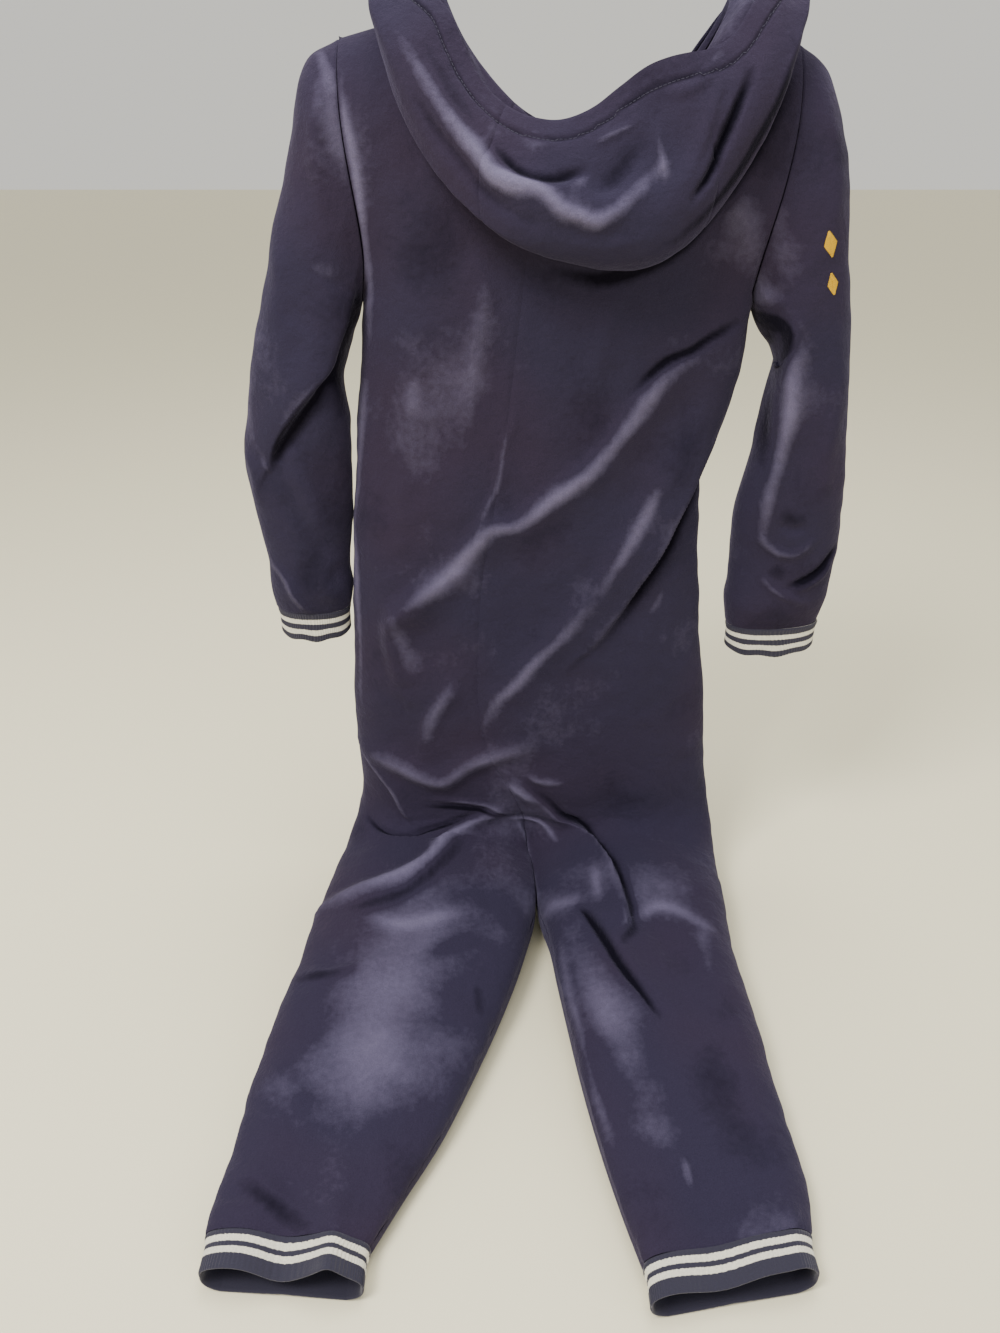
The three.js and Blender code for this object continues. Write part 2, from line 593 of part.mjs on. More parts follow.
// The chest surface straight behind or before a place, with its normal.
function chestSurface (face, x, z) {
  for (const side of ['left', 'right']) {
    const grid = panels[side][face < 0 ? 'back' : 'front'][0]
    for (let i = 0; i < chestParts.length; i += 1) {
      for (let j = 0; j < bodyColumns; j += 1) {
        const corners = [grid[i][j], grid[i + 1][j], grid[i + 1][j + 1], grid[i][j + 1]]
        for (const k of [1, 2]) {
          const [a, b, c] = [corners[0], corners[k], corners[k + 1]]
          const area = (b.x - a.x) * (c.z - a.z) - (c.x - a.x) * (b.z - a.z)
          const u = ((x - a.x) * (c.z - a.z) - (c.x - a.x) * (z - a.z)) / area
          const v = ((b.x - a.x) * (z - a.z) - (x - a.x) * (b.z - a.z)) / area
          if (u < -1e-6 || v < -1e-6 || u + v > 1 + 1e-6) continue
          const normal = b.clone().sub(a).cross(c.clone().sub(a)).normalize()
          if (normal.y * face < 0) normal.negate()
          return { y: a.y + u * (b.y - a.y) + v * (c.y - a.y), normal }
        }
      }
    }
  }
  return null
}

// Moves a point of the hood out until it lies clear of the chest and the shoulders.
function clearOfChest (p, gap) {
  for (let turn = 0; turn < 8; turn += 1) {
    const surface = chestSurface(p.y < 0 ? -1 : 1, p.x, p.z)
    if (!surface) return p
    const short = gap - (p.y - surface.y) * surface.normal.y
    if (short > 0) p.addScaledVector(surface.normal, short)
  }
  return p
}

const hoodFrom = neckAngles[1] - 9
const hoodTo = neckAngles[neckAngles.length - 2] + 9
const hoodAngles = [hoodFrom]
neckAngles.slice(1, -1).forEach((angle, k) => {
  if (Math.abs(angle) < 95 && hoodAngles.length > 1) hoodAngles.push((angle + neckAngles[k]) / 2)
  hoodAngles.push(angle)
})
hoodAngles.push(hoodTo)

// Past the turned-up seam, each point's way out from the neck is eased between its neighbours'.
function easedHood (columns) {
  const fromSeam = (j, i) => columns[j][i].clone().sub(columns[j][0])
  return columns.map((column, j) => column.map((p, i) => {
    if (i < seamKnots || j === 0 || j === columns.length - 1) return p
    const eased = fromSeam(j, i).multiplyScalar(2).add(fromSeam(j - 1, i)).add(fromSeam(j + 1, i))
    return column[0].clone().addScaledVector(eased, 0.25)
  }))
}

// Clears the layer that lies on the chest, and moves the layers above it by as much. The knots of the
// turned-up seam stand closer.
function restOnChest (columns) {
  return columns.map((column) => {
    const cleared = column.map((p, i) => {
      if (i < 2) return p
      return clearOfChest(p.clone(), i < seamKnots ? seamRest : hoodRest)
    })
    const moved = (i) => cleared[i].clone().sub(column[i])
    return column.map((p, i) => {
      if (i <= lowKnot) return cleared[i]
      const under = lowKnot - (i - lowKnot) / 2
      const step = moved(Math.floor(under)).lerp(moved(Math.ceil(under)), under % 1)
      return clearOfChest(p.clone().add(step), hoodRest)
    })
  })
}

let hoodColumns = restOnChest(hoodAngles.map(hoodSection))
for (let turn = 0; turn < 3; turn += 1) hoodColumns = restOnChest(easedHood(hoodColumns))
const hoodOuter = hoodColumns[0].map((unused, i) => hoodColumns.map((column) => column[i]))
const hoodNormals = gridNormals(hoodOuter, false, 1)
const hoodInner = hoodOuter.map((row, i) => row.map((p, j) => {
  const angle = rad(hoodAngles[j])
  const n = i === 0 ? new THREE.Vector3(Math.sin(angle), -Math.cos(angle), 0) : hoodNormals[i][j]
  return p.clone().addScaledVector(n, -wall)
}))
const nearestColumn = (angle) => hoodAngles.reduce(
  (best, a, k) => (Math.abs(a - angle) < Math.abs(hoodAngles[best] - angle) ? k : best), 0)
const seamColumns = { left: nearestColumn(hoodSeams.left), right: nearestColumn(hoodSeams.right) }
const hoodPieces = [
  { name: 'hood_left', from: 0, to: seamColumns.left },
  { name: 'hood_centre', from: seamColumns.left, to: seamColumns.right },
  { name: 'hood_right', from: seamColumns.right, to: hoodAngles.length - 1 }
]
const hoodSeamEdge = (i) => (i === hoodOuter.length - 1 ? rimGap : hoodGap)
const hoodEdges = { top: halfGap, first: hoodSeamEdge, last: hoodSeamEdge }
for (const { name, from, to } of hoodPieces) {
  const cut = (points) => points.map((row) => row.slice(from, to + 1))
  addPanel(name, [cut(hoodOuter), cut(hoodInner)], hoodEdges)
}

// The zip: a tape under the edges of the fronts with the closed chain raised along its middle.
const zip = { chainHalf: 3, tapeHalf: 11, tape: 1, below: 0.5, sunk: 0.3 }
function zipGeometry () {
  const rings = []
  for (let i = 1; rowAlong(i) < zipEnd - 50; i += 1) {
    const edge = { left: panels.left.front[0][i], right: panels.right.front[0][i] }
    const middle = edge.left[bodyColumns]
    const at = (side, across, deep) => {
      const step = edge[side][bodyColumns - 1].clone().sub(middle).setLength(across)
      return middle.clone().add(step).add(new THREE.Vector3(0, -deep, 0))
    }
    const under = wall + zip.below
    rings.push([
      at('left', zip.chainHalf, zip.sunk), at('right', zip.chainHalf, zip.sunk),
      at('right', zip.chainHalf, under), at('right', zip.tapeHalf, under),
      at('right', zip.tapeHalf, under + zip.tape), at('left', zip.tapeHalf, under + zip.tape),
      at('left', zip.tapeHalf, under), at('left', zip.chainHalf, under)
    ])
  }
  const positions = rings.flat().flatMap((p) => [p.x, p.y, p.z])
  const count = rings[0].length
  const indices = []
  for (let i = 0; i < rings.length - 1; i += 1) {
    for (let j = 0; j < count; j += 1) {
      const a = i * count + j
      const b = i * count + (j + 1) % count
      indices.push(a, b, b + count, a, b + count, a + count)
    }
  }
  const cap = [[0, 7, 1], [7, 2, 1], [7, 6, 5], [7, 5, 2], [2, 5, 4], [2, 4, 3]]
  const end = (rings.length - 1) * count
  for (const [a, b, c] of cap) indices.push(a, b, c, end + a, end + c, end + b)
  return outwardGeometry(positions, indices)
}
addPiece('zip_tape', zipGeometry(), navy)

// Boxes and rods joined into one solid.
function joinedGeometry (geometries) {
  const solids = geometries.map((geometry) => {
    geometry.deleteAttribute('normal')
    geometry.deleteAttribute('uv')
    const merged = mergeVertices(geometry)
    const vertProperties = new Float32Array(merged.attributes.position.array)
    const triVerts = new Uint32Array(merged.index.array)
    return new wasm.Manifold(new wasm.Mesh({ numProp: 3, vertProperties, triVerts }))
  })
  const mesh = solids.reduce((sum, solid) => sum.add(solid)).getMesh()
  const geometry = new THREE.BufferGeometry()
  geometry.setAttribute('position', new THREE.BufferAttribute(mesh.vertProperties, 3))
  geometry.setIndex(new THREE.BufferAttribute(mesh.triVerts, 1))
  geometry.computeVertexNormals()
  return geometry
}

// A box of a size, its middle at an offset from a point.
function block (size, from, [x, y, z]) {
  return new THREE.BoxGeometry(...size).translate(from.x + x, from.y + y, from.z + z)
}

// The slider lies on the chain near the top, with a bridge that the pull's rod passes under.
const slider = {
  z: -122,
  width: 9,
  height: 11,
  plate: 1.6,
  lift: 0.4,
  post: 1.4,
  bridge: 1.6,
  room: 2.6,
  bar: 1.2,
  joined: 0.05
}
const pull = {
  rod: 1.4,
  reach: 3.2,
  arm: 1.5,
  start: 7.6,
  joined: 1,
  length: 27,
  width: 7,
  pivotDown: 1.8
}
const offSlider = (p) => Math.abs(p.z - slider.z)
const sliderSeat = panels.left.front[0]
  .map((row) => row[bodyColumns])
  .reduce((best, p) => (offSlider(p) < offSlider(best) ? p : best))
const plateTop = sliderSeat.clone()
plateTop.y += slider.lift + slider.plate
const postHeight = slider.room + slider.bar
const postZ = slider.height / 2 - slider.post / 2
const postY = postHeight / 2 - slider.joined
const post = (end) => block([slider.bridge, postHeight, slider.post], plateTop, [0, postY, end * postZ])
addPiece('zip_slider', joinedGeometry([
  block([slider.width, slider.plate, slider.height], plateTop, [0, -slider.plate / 2, 0]),
  post(-1),
  post(1),
  block([slider.bridge, slider.bar, slider.height], plateTop, [0, slider.room + slider.bar / 2, 0])
]), metal, 0.4, 0.8)

const pivot = plateTop.clone().add(new THREE.Vector3(0, slider.room / 2, -pull.pivotDown))
const armX = pull.reach - pull.arm / 2
const armSize = [pull.arm, pull.rod, pull.start + pull.joined]
const arm = (end) => block(armSize, pivot, [end * armX, 0, -pull.start / 2])
addPiece('zip_pull', joinedGeometry([
  block([2 * pull.reach, pull.rod, pull.rod], pivot, [0, 0, 0]),
  arm(-1),
  arm(1),
  block([pull.width, pull.rod, pull.length - pull.start], pivot, [0, 0, -(pull.start + pull.length) / 2])
]), metal, 0.4, 0.8)

export default part
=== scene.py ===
import math
import bmesh
import bpy
import numpy as np
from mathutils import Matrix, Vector
from mathutils.bvhtree import BVHTree


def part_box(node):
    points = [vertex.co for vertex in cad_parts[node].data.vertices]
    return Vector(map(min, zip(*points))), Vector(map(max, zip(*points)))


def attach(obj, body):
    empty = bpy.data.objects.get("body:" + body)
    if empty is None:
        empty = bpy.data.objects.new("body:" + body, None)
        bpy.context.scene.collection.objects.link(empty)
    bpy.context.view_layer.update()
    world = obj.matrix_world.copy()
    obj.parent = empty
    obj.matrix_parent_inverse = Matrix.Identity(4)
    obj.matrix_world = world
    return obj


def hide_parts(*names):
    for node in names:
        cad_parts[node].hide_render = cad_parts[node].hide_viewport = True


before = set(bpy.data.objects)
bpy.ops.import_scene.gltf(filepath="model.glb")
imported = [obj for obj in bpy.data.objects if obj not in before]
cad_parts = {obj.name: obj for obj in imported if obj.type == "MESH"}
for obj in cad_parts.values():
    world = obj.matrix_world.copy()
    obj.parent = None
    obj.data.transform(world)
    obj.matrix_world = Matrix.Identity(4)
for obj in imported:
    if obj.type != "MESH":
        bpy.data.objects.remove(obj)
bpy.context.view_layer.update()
print("frame loaded")

# Shapes are worked out in millimetres, as on the pattern, and made in metres.
mm = 0.001
wall = 2.4
floorZ = -795.0
restZ = floorZ + 0.2        # the lowest that cloth lies on the table
armpitZ = -214.0
strokeShape = {"pointsPerKnot": 6, "reach": 1.6, "narrow": 0.6, "ends": 0.02, "fade": 0.5}


def mix(a, b, t):
    return a + (b - a) * t


def smoothStep(t):
    t = np.clip(t, 0.0, 1.0)
    return t * t * (3 - 2 * t)


def signedPower(v, n):
    return np.sign(v) * np.abs(v) ** n


def makeTable(columns, rows):
    return {name: np.array([row[k] for row in rows], float) for k, name in enumerate(columns)}


def smoothBetween(start, end, startSlope, endSlope, t):
    # a smooth curve from start to end, with its slopes per step
    t2, t3 = t * t, t * t * t
    return (start * (2 * t3 - 3 * t2 + 1) + startSlope * (t3 - 2 * t2 + t)
            + end * (3 * t2 - 2 * t3) + endSlope * (t3 - t2))


def valueAt(table, key, column, at):
    xs, ys = table[key], table[column]
    last = len(xs) - 1
    at = np.clip(at, xs[0], xs[-1])
    i = np.clip(np.searchsorted(xs, at, side="left") - 1, 0, last - 1)
    low = np.maximum(np.arange(last + 1) - 1, 0)
    high = np.minimum(np.arange(last + 1) + 1, last)
    slope = (ys[high] - ys[low]) / (xs[high] - xs[low])
    width = xs[i + 1] - xs[i]
    return smoothBetween(ys[i], ys[i + 1], slope[i] * width, slope[i + 1] * width, (at - xs[i]) / width)


def makeRipple(seed, size, count=26):
    # a soft uneven field of about unit height, its bumps about size mm wide
    draw = np.random.default_rng(seed)
    waves = draw.normal(size=(count, 3))
    waves /= np.linalg.norm(waves, axis=1)[:, None]
    waves *= math.pi / size * draw.uniform(0.6, 1.5, (count, 1))
    phase = draw.uniform(0, 2 * math.pi, count)
    return lambda points: np.sin(points @ waves.T + phase).sum(-1) / math.sqrt(count / 2)


def unit(v):
    return v / np.maximum(np.linalg.norm(v, axis=-1, keepdims=True), 1e-9)


def gridNormals(grid, wrapped, flip):
    down = np.concatenate([grid[1:2] - grid[:1], grid[2:] - grid[:-2], grid[-1:] - grid[-2:-1]])
    if wrapped:
        across = np.roll(grid, -1, axis=1) - np.roll(grid, 1, axis=1)
    else:
        across = np.concatenate(
            [grid[:, 1:2] - grid[:, :1], grid[:, 2:] - grid[:, :-2], grid[:, -1:] - grid[:, -2:-1]], axis=1)
    return unit(np.cross(across, down)) * flip


def smoothPath(path, count):
    points = np.array(path, float)
    table = {"k": np.arange(len(points), dtype=float), "a": points[:, 0], "b": points[:, 1]}
    at = np.linspace(0, len(points) - 1, count)
    return np.stack([valueAt(table, "k", "a", at), valueAt(table, "k", "b", at)], -1)


def strokeField(strokes, x, along):
    # adds up strokes laid on the cloth: each has a height, a width on both sides of its path and the path,
    # given as x and mm down the cloth
    field = np.zeros(np.broadcast(x, along).shape)
    x, along = np.broadcast_to(x, field.shape), np.broadcast_to(along, field.shape)
    ends = strokeShape["ends"]
    for height, left, right, points in strokes:
        path = smoothPath(points, strokeShape["pointsPerKnot"] * len(points))
        reach = strokeShape["reach"] * max(left, right)
        low, high = path.min(0) - reach, path.max(0) + reach
        near = (x > low[0]) & (x < high[0]) & (along > low[1]) & (along < high[1])
        if not near.any():
            continue
        px, pa = x[near], along[near]
        nearest = np.full(px.shape, 1e9)
        side, part = np.zeros(px.shape), np.zeros(px.shape)
        for k in range(len(path) - 1):
            a, d = path[k], path[k + 1] - path[k]
            t = np.clip(((px - a[0]) * d[0] + (pa - a[1]) * d[1]) / (d @ d), 0, 1)
            distance = np.hypot(px - a[0] - t * d[0], pa - a[1] - t * d[1])
            closer = distance < nearest
            nearest = np.where(closer, distance, nearest)
            side = np.where(closer, d[0] * (pa - a[1]) - d[1] * (px - a[0]), side)
            part = np.where(closer, (k + t) / (len(path) - 1), part)
        width = np.where(side > 0, left, right) * strokeShape["narrow"]
        fade = np.sin(math.pi * np.clip(part, ends, 1 - ends)) ** strokeShape["fade"]
        field[near] += height * fade * np.exp(-(nearest / width) ** 2)
    return field


def placePiece(name, mesh):
    piece = bpy.data.objects.new(name, mesh)
    bpy.context.scene.collection.objects.link(piece)
    return piece


def gridFaces(index):
    # one face for each cell of a grid of point numbers
    return np.stack([index[:-1, :-1], index[1:, :-1], index[1:, 1:], index[:-1, 1:]], -1).reshape(-1, 4)


def stripFaces(line, count, flip=False):
    # joins a line of outside points to the same line of inside points, whose numbers are higher by count
    corners = [line[:-1], line[1:], line[1:] + count, line[:-1] + count]
    return np.stack([corners[k] for k in ((0, 3, 2, 1) if flip else (0, 1, 2, 3))], -1)


def makeShell(name, outer, inner, wrapped, material, **fields):
    # a closed shell between an outer and an inner grid; the fields are kept on its points for the material
    rows, columns = outer.shape[:2]
    count = rows * columns
    points = np.concatenate([outer.reshape(-1, 3), inner.reshape(-1, 3)]) * mm
    index = np.arange(count).reshape(rows, columns)
    if wrapped:
        index = np.concatenate([index, index[:, :1]], axis=1)
    face = gridFaces(index)
    faces = [face, face[:, ::-1] + count, stripFaces(index[0], count), stripFaces(index[-1], count, True)]
    if not wrapped:
        faces += [stripFaces(index[:, 0], count, True), stripFaces(index[:, -1], count)]
    faces = np.concatenate(faces)
    p = points[faces]
    volume = (np.cross(p[:, 0], p[:, 1]) * p[:, 2]).sum() + (np.cross(p[:, 0], p[:, 2]) * p[:, 3]).sum()
    if volume < 0:
        faces = faces[:, ::-1]
    mesh = bpy.data.meshes.new(name)
    mesh.from_pydata(points.tolist(), [], faces.tolist())
    mesh.polygons.foreach_set("use_smooth", [True] * len(mesh.polygons))
    onEdge = np.zeros((rows, columns), bool)
    onEdge[[0, -1]] = True
    if not wrapped:
        onEdge[:, [0, -1]] = True
    onEdge = np.tile(onEdge.reshape(-1), 2)
    ends = np.zeros(len(mesh.edges) * 2, np.int32)
    mesh.edges.foreach_get("vertices", ends)
    ends = ends.reshape(-1, 2)
    sharp = onEdge[ends].all(1) & ((ends[:, 0] < count) == (ends[:, 1] < count))
    mesh.edges.foreach_set("use_edge_sharp", sharp)
    for field, values in fields.items():
        pair = values if isinstance(values, tuple) else (values, values)       # outside and inside
        flat = np.concatenate([np.broadcast_to(v, (rows, columns)).reshape(-1) for v in pair])
        kept = mesh.attributes.new(field, "FLOAT", "POINT")
        kept.data.foreach_set("value", flat.astype(np.float32))
    mesh.materials.append(material)
    mesh.validate()
    return placePiece(name, mesh)


def softEdges(outer, inner, sides, depth=0.32):
    # the cloth thins towards a seam, so that two pieces meet in a fine groove
    outer, inner = outer.copy(), inner.copy()
    lines = {"top": np.s_[0, :], "bottom": np.s_[-1, :], "first": np.s_[:, 0], "last": np.s_[:, -1]}
    for side in sides:
        line = lines[side]
        step = (inner[line] - outer[line]) * depth
        outer[line] = outer[line] + step
        inner[line] = inner[line] - step
    return outer, inner


def newMaterial(name, color, roughness, metallic=0.0, sheen=0.0, sheenRoughness=0.5,
                sheenTint=(0.9, 0.9, 1.0)):
    material = bpy.data.materials.new(name)
    material.use_nodes = True
    tree = material.node_tree
    shader = tree.nodes["Principled BSDF"]
    shader.inputs["Base Color"].default_value = (*color, 1)
    shader.inputs["Roughness"].default_value = roughness
    shader.inputs["Metallic"].default_value = metallic
    shader.inputs["Sheen Weight"].default_value = sheen
    shader.inputs["Sheen Roughness"].default_value = sheenRoughness
    shader.inputs["Sheen Tint"].default_value = (*sheenTint, 1)
    return material, tree, shader


def placeNode(tree):
    return tree.nodes.new("ShaderNodeTexCoord").outputs["Object"]


def noiseNode(tree, place, scale, detail=3.0, roughness=0.55):
    node = tree.nodes.new("ShaderNodeTexNoise")
    node.inputs["Scale"].default_value = scale
    node.inputs["Detail"].default_value = detail
    node.inputs["Roughness"].default_value = roughness
    tree.links.new(place, node.inputs["Vector"])
    return node.outputs["Fac"]


def rampNode(tree, value, stops):
    node = tree.nodes.new("ShaderNodeValToRGB")
    ramp = node.color_ramp
    while len(ramp.elements) < len(stops):
        ramp.elements.new(0.5)
    for element, (position, color) in zip(ramp.elements, stops):
        element.position = position
        element.color = (*color, 1)
    tree.links.new(value, node.inputs["Fac"])
    return node.outputs["Color"]


def fadeNode(tree, value, start, end):
    return rampNode(tree, value, [(start, (0, 0, 0)), (end, (1, 1, 1))])


def mathNode(tree, kind, a, b):
    node = tree.nodes.new("ShaderNodeMath")
    node.operation = kind
    for socket, value in zip(node.inputs, (a, b)):
        if isinstance(value, (int, float)):
            socket.default_value = value
        else:
            tree.links.new(value, socket)
    return node.outputs[0]


def unevenNode(tree, noise, amount):
    # a noise that wanders both ways round zero
    return mathNode(tree, "MULTIPLY", mathNode(tree, "SUBTRACT", noise, 0.5), amount)


def mixNode(tree, kind, amount, a, b):
    node = tree.nodes.new("ShaderNodeMix")
    node.data_type = "RGBA"
    node.blend_type = kind
    for socket, value in zip((node.inputs[0], node.inputs[6], node.inputs[7]), (amount, a, b)):
        if isinstance(value, (int, float)):
            socket.default_value = value
        elif isinstance(value, tuple):
            socket.default_value = (*value, 1)
        else:
            tree.links.new(value, socket)
    return node.outputs[2]


def fieldNode(tree, name):
    node = tree.nodes.new("ShaderNodeAttribute")
    node.attribute_name = name
    return node.outputs["Fac"]


def bumpNode(tree, shader, height, strength, distance, before=None):
    node = tree.nodes.new("ShaderNodeBump")
    node.inputs["Strength"].default_value = strength
    node.inputs["Distance"].default_value = distance
    tree.links.new(height, node.inputs["Height"])
    if before is not None:
        tree.links.new(before, node.inputs["Normal"])
    tree.links.new(node.outputs["Normal"], shader.inputs["Normal"])
    return node.outputs["Normal"]


plushLook = {
    # the dark colour is partly painted shade in creases, armpits and under the hood's edge; the brushed colour
    # is partly a painted highlight along fold crests
    "shadeAndPressedColor": (0.003, 0.002, 0.008),
    "navy": (0.028, 0.0235, 0.049),
    "plum": (0.0325, 0.0235, 0.047),
    "highlightAndBrushedColor": (0.145, 0.128, 0.212),
    "roughness": 0.9, "gloss": 0.12, "sheen": 0.13, "sheenRoughness": 0.4, "sheenTint": (0.68, 0.62, 1.0),
    # how fine each unevenness is
    "tint": 5.0, "patch": 12.0, "mottle": 48.0, "clump": 190.0, "pile": 1300.0,
    # how much the strokes of painted highlight and painted shade and each unevenness turn the nap
    "strokeDepth": 0.4, "patchDepth": 0.5, "mottleDepth": 0.13, "clumpDepth": 0.14,
    # nap values over which the cloth turns silvery, partly a painted highlight, and dark, partly a painted
    # shade
    "lit": (0.06, 0.45), "pressedAndShaded": (0.05, 0.34),
    "clumpBump": (0.55, 0.002), "pileBump": (0.6, 0.0008),
}


def plushMaterial(name, look):
    material, tree, shader = newMaterial(
        name, look["navy"], look["roughness"], 0, look["sheen"], look["sheenRoughness"], look["sheenTint"])
    shader.inputs["Specular IOR Level"].default_value = look["gloss"]
    place = placeNode(tree)
    tint = noiseNode(tree, place, look["tint"], 2.0)
    patches = noiseNode(tree, place, look["patch"], 1.0, 0.4)    # nap pushed this way and that
    mottle = noiseNode(tree, place, look["mottle"], 3.0, 0.5)
    clumps = noiseNode(tree, place, look["clump"], 3.0)
    pile = noiseNode(tree, place, look["pile"], 2.0)
    base = mixNode(tree, "MIX", fadeNode(tree, tint, 0.4, 0.6), look["navy"], look["plum"])
    # the nap and the painted light: brushed up or along a fold's crest it turns silvery, a painted highlight,
    # and pressed down or in a crease it turns nearly black, a painted shade
    nap = mathNode(tree, "MULTIPLY", fieldNode(tree, "nap"), look["strokeDepth"])
    for noise, depth in ((patches, "patchDepth"), (mottle, "mottleDepth"), (clumps, "clumpDepth")):
        nap = mathNode(tree, "ADD", nap, unevenNode(tree, noise, look[depth]))
    pressedAndShaded = mathNode(tree, "MULTIPLY", nap, -1.0)
    color = mixNode(tree, "MIX", fadeNode(tree, nap, *look["lit"]), base, look["highlightAndBrushedColor"])
    color = mixNode(tree, "MIX", fadeNode(tree, pressedAndShaded, *look["pressedAndShaded"]), color, look["shadeAndPressedColor"])
    speck = rampNode(tree, pile, [(0.3, (0.72, 0.72, 0.74)), (0.7, (1, 1, 1))])
    tree.links.new(mixNode(tree, "MULTIPLY", 1.0, color, speck), shader.inputs["Base Color"])
    soft = bumpNode(tree, shader, clumps, *look["clumpBump"])
    bumpNode(tree, shader, pile, *look["pileBump"], soft)
    return material


plush = plushMaterial("navyPlush", plushLook)

cuffLook = {
    "navy": (0.016, 0.014, 0.034), "cream": (0.78, 0.75, 0.64), "roughness": 0.85, "sheen": 0.25,
    "knit": 900.0, "wander": 0.05, "stripeEdge": 0.012,
}


def ribMaterial(name, look, stripes):
    # stripes: where each cream stripe starts and ends, from the seam 0 to the mouth 1
    material, tree, shader = newMaterial(name, look["navy"], look["roughness"], 0, look["sheen"])
    knit = noiseNode(tree, placeNode(tree), look["knit"], 2.0)
    place = mathNode(tree, "ADD", fieldNode(tree, "place"), unevenNode(tree, knit, look["wander"]))
    edge = look["stripeEdge"]
    stops = [(0.0, look["navy"])]
    for start, end in stripes:
        stops += [(start, look["navy"]), (start + edge, look["cream"]),
                  (end, look["cream"]), (end + edge, look["navy"])]
    loops = rampNode(tree, knit, [(0.3, (0.6, 0.6, 0.62)), (0.7, (1, 1, 1))])
    shade = mixNode(tree, "MULTIPLY", 0.5, rampNode(tree, place, stops), loops)
    tree.links.new(shade, shader.inputs["Base Color"])
    bumpNode(tree, shader, knit, 0.5, 0.0006)
    return material


sleeveRib = ribMaterial("sleeveRib", cuffLook, [(0.24, 0.41), (0.6, 0.77)])
legRib = ribMaterial("legRib", cuffLook, [(0.14, 0.3), (0.43, 0.6)])

zipLook = {
    "tape": (0.02, 0.018, 0.034), "teeth": (0.03, 0.028, 0.05), "metal": (0.05, 0.048, 0.07),
    "worn": (0.3, 0.29, 0.33),
}
threadLook = {"navy": (0.05, 0.045, 0.085), "yellow": (0.95, 0.56, 0.0)}


def wovenMaterial(name, color, thread, roughness=0.8, sheen=0.15):
    # a woven or stitched finish: fine threads two ways
    material, tree, shader = newMaterial(name, color, roughness, 0, sheen)
    place = placeNode(tree)
    threads = []
    for way in ("X", "Z"):
        wave = tree.nodes.new("ShaderNodeTexWave")
        wave.bands_direction = way
        wave.inputs["Scale"].default_value = thread
        wave.inputs["Distortion"].default_value = 1.5
        tree.links.new(place, wave.inputs["Vector"])
        threads.append(wave.outputs["Fac"])
    weave = mathNode(tree, "MULTIPLY", threads[0], threads[1])
    shade = rampNode(tree, weave, [(0.0, (0.6, 0.6, 0.62)), (0.7, (1, 1, 1))])
    tree.links.new(mixNode(tree, "MULTIPLY", 1.0, color, shade), shader.inputs["Base Color"])
    bumpNode(tree, shader, weave, 0.5, 0.0003)
    return material


def metalMaterial(name, look):
    # painted cast metal, a little worn
    paint = look["metal"]
    material, tree, shader = newMaterial(name, paint, 0.35, 0.85)
    wear = noiseNode(tree, placeNode(tree), 420.0, 4.0, 0.65)
    color = rampNode(tree, wear, [(0.35, paint), (0.62, paint), (0.78, look["worn"])])
    tree.links.new(color, shader.inputs["Base Color"])
    roughness = mathNode(tree, "ADD", mathNode(tree, "MULTIPLY", wear, 0.3), 0.22)
    tree.links.new(roughness, shader.inputs["Roughness"])
    bumpNode(tree, shader, wear, 0.15, 0.0002)
    return material


tapeWeave = wovenMaterial("zipTape", zipLook["tape"], 380.0)
toothPlastic = wovenMaterial("zipTeeth", zipLook["teeth"], 900.0, 0.42)
navyThread = wovenMaterial("navyThread", threadLook["navy"], 1400.0)
yellowThread = wovenMaterial("yellowThread", threadLook["yellow"], 700.0, 0.55, 0.0)
zipMetal = metalMaterial("zipMetal", zipLook)
print("materials made")

# the lens is that of the photograph: as long as the picture is wide
cameraPlace = {"x": -0.055, "y": -0.858, "z": -0.0919, "down": 28.2, "sensor": 36, "wide": 1000, "tall": 1333}
camera = bpy.data.objects.new("camera", bpy.data.cameras.new("camera"))
camera.location = (cameraPlace["x"], cameraPlace["y"], cameraPlace["z"])
camera.rotation_euler = (math.radians(90 - cameraPlace["down"]), 0, 0)
camera.data.lens = cameraPlace["sensor"] * cameraPlace["wide"] / cameraPlace["tall"]
camera.data.sensor_width = cameraPlace["sensor"]
camera.data.clip_start = 0.01
bpy.context.scene.collection.objects.link(camera)
bpy.context.scene.camera = camera

stageLook = {"color": (0.93, 0.87, 0.64), "roughness": 0.6, "half": 14.0, "grain": 260.0}


def makeStage(look):
    size = look["half"]
    z = floorZ * mm
    mesh = bpy.data.meshes.new("floor")
    corners = [(-size, -size, z), (size, -size, z), (size, size, z), (-size, size, z)]
    mesh.from_pydata(corners, [], [(0, 1, 2, 3)])
    material, tree, shader = newMaterial("paleFloor", look["color"], look["roughness"])
    grain = noiseNode(tree, placeNode(tree), look["grain"], 4.0)
    bumpNode(tree, shader, grain, 0.08, 0.001)
    mesh.materials.append(material)
    placePiece("floor", mesh)


makeStage(stageLook)

lightRows = [
    # name, place, aimed at, size, power, color
    ("key", (-0.9, -1.1, 1.2), (0.0, -0.05, -0.5), 0.7, 48, (1.0, 0.97, 0.92)),
    ("fill", (1.4, -1.5, 0.4), (0.0, -0.05, -0.5), 1.2, 7, (0.95, 0.96, 1.0)),
    ("top", (0.1, 0.1, 1.6), (0.0, -0.15, -0.7), 1.2, 24, (1.0, 0.99, 0.96)),
]
for name, place, aim, size, power, color in lightRows:
    lamp = bpy.data.lights.new(name, "AREA")
    lamp.shape = "SQUARE"
    lamp.size = size
    lamp.energy = power
    lamp.color = color
    light = placePiece(name, lamp)
    light.location = place
    light.rotation_euler = (Vector(aim) - Vector(place)).to_track_quat("-Z", "Y").to_euler()

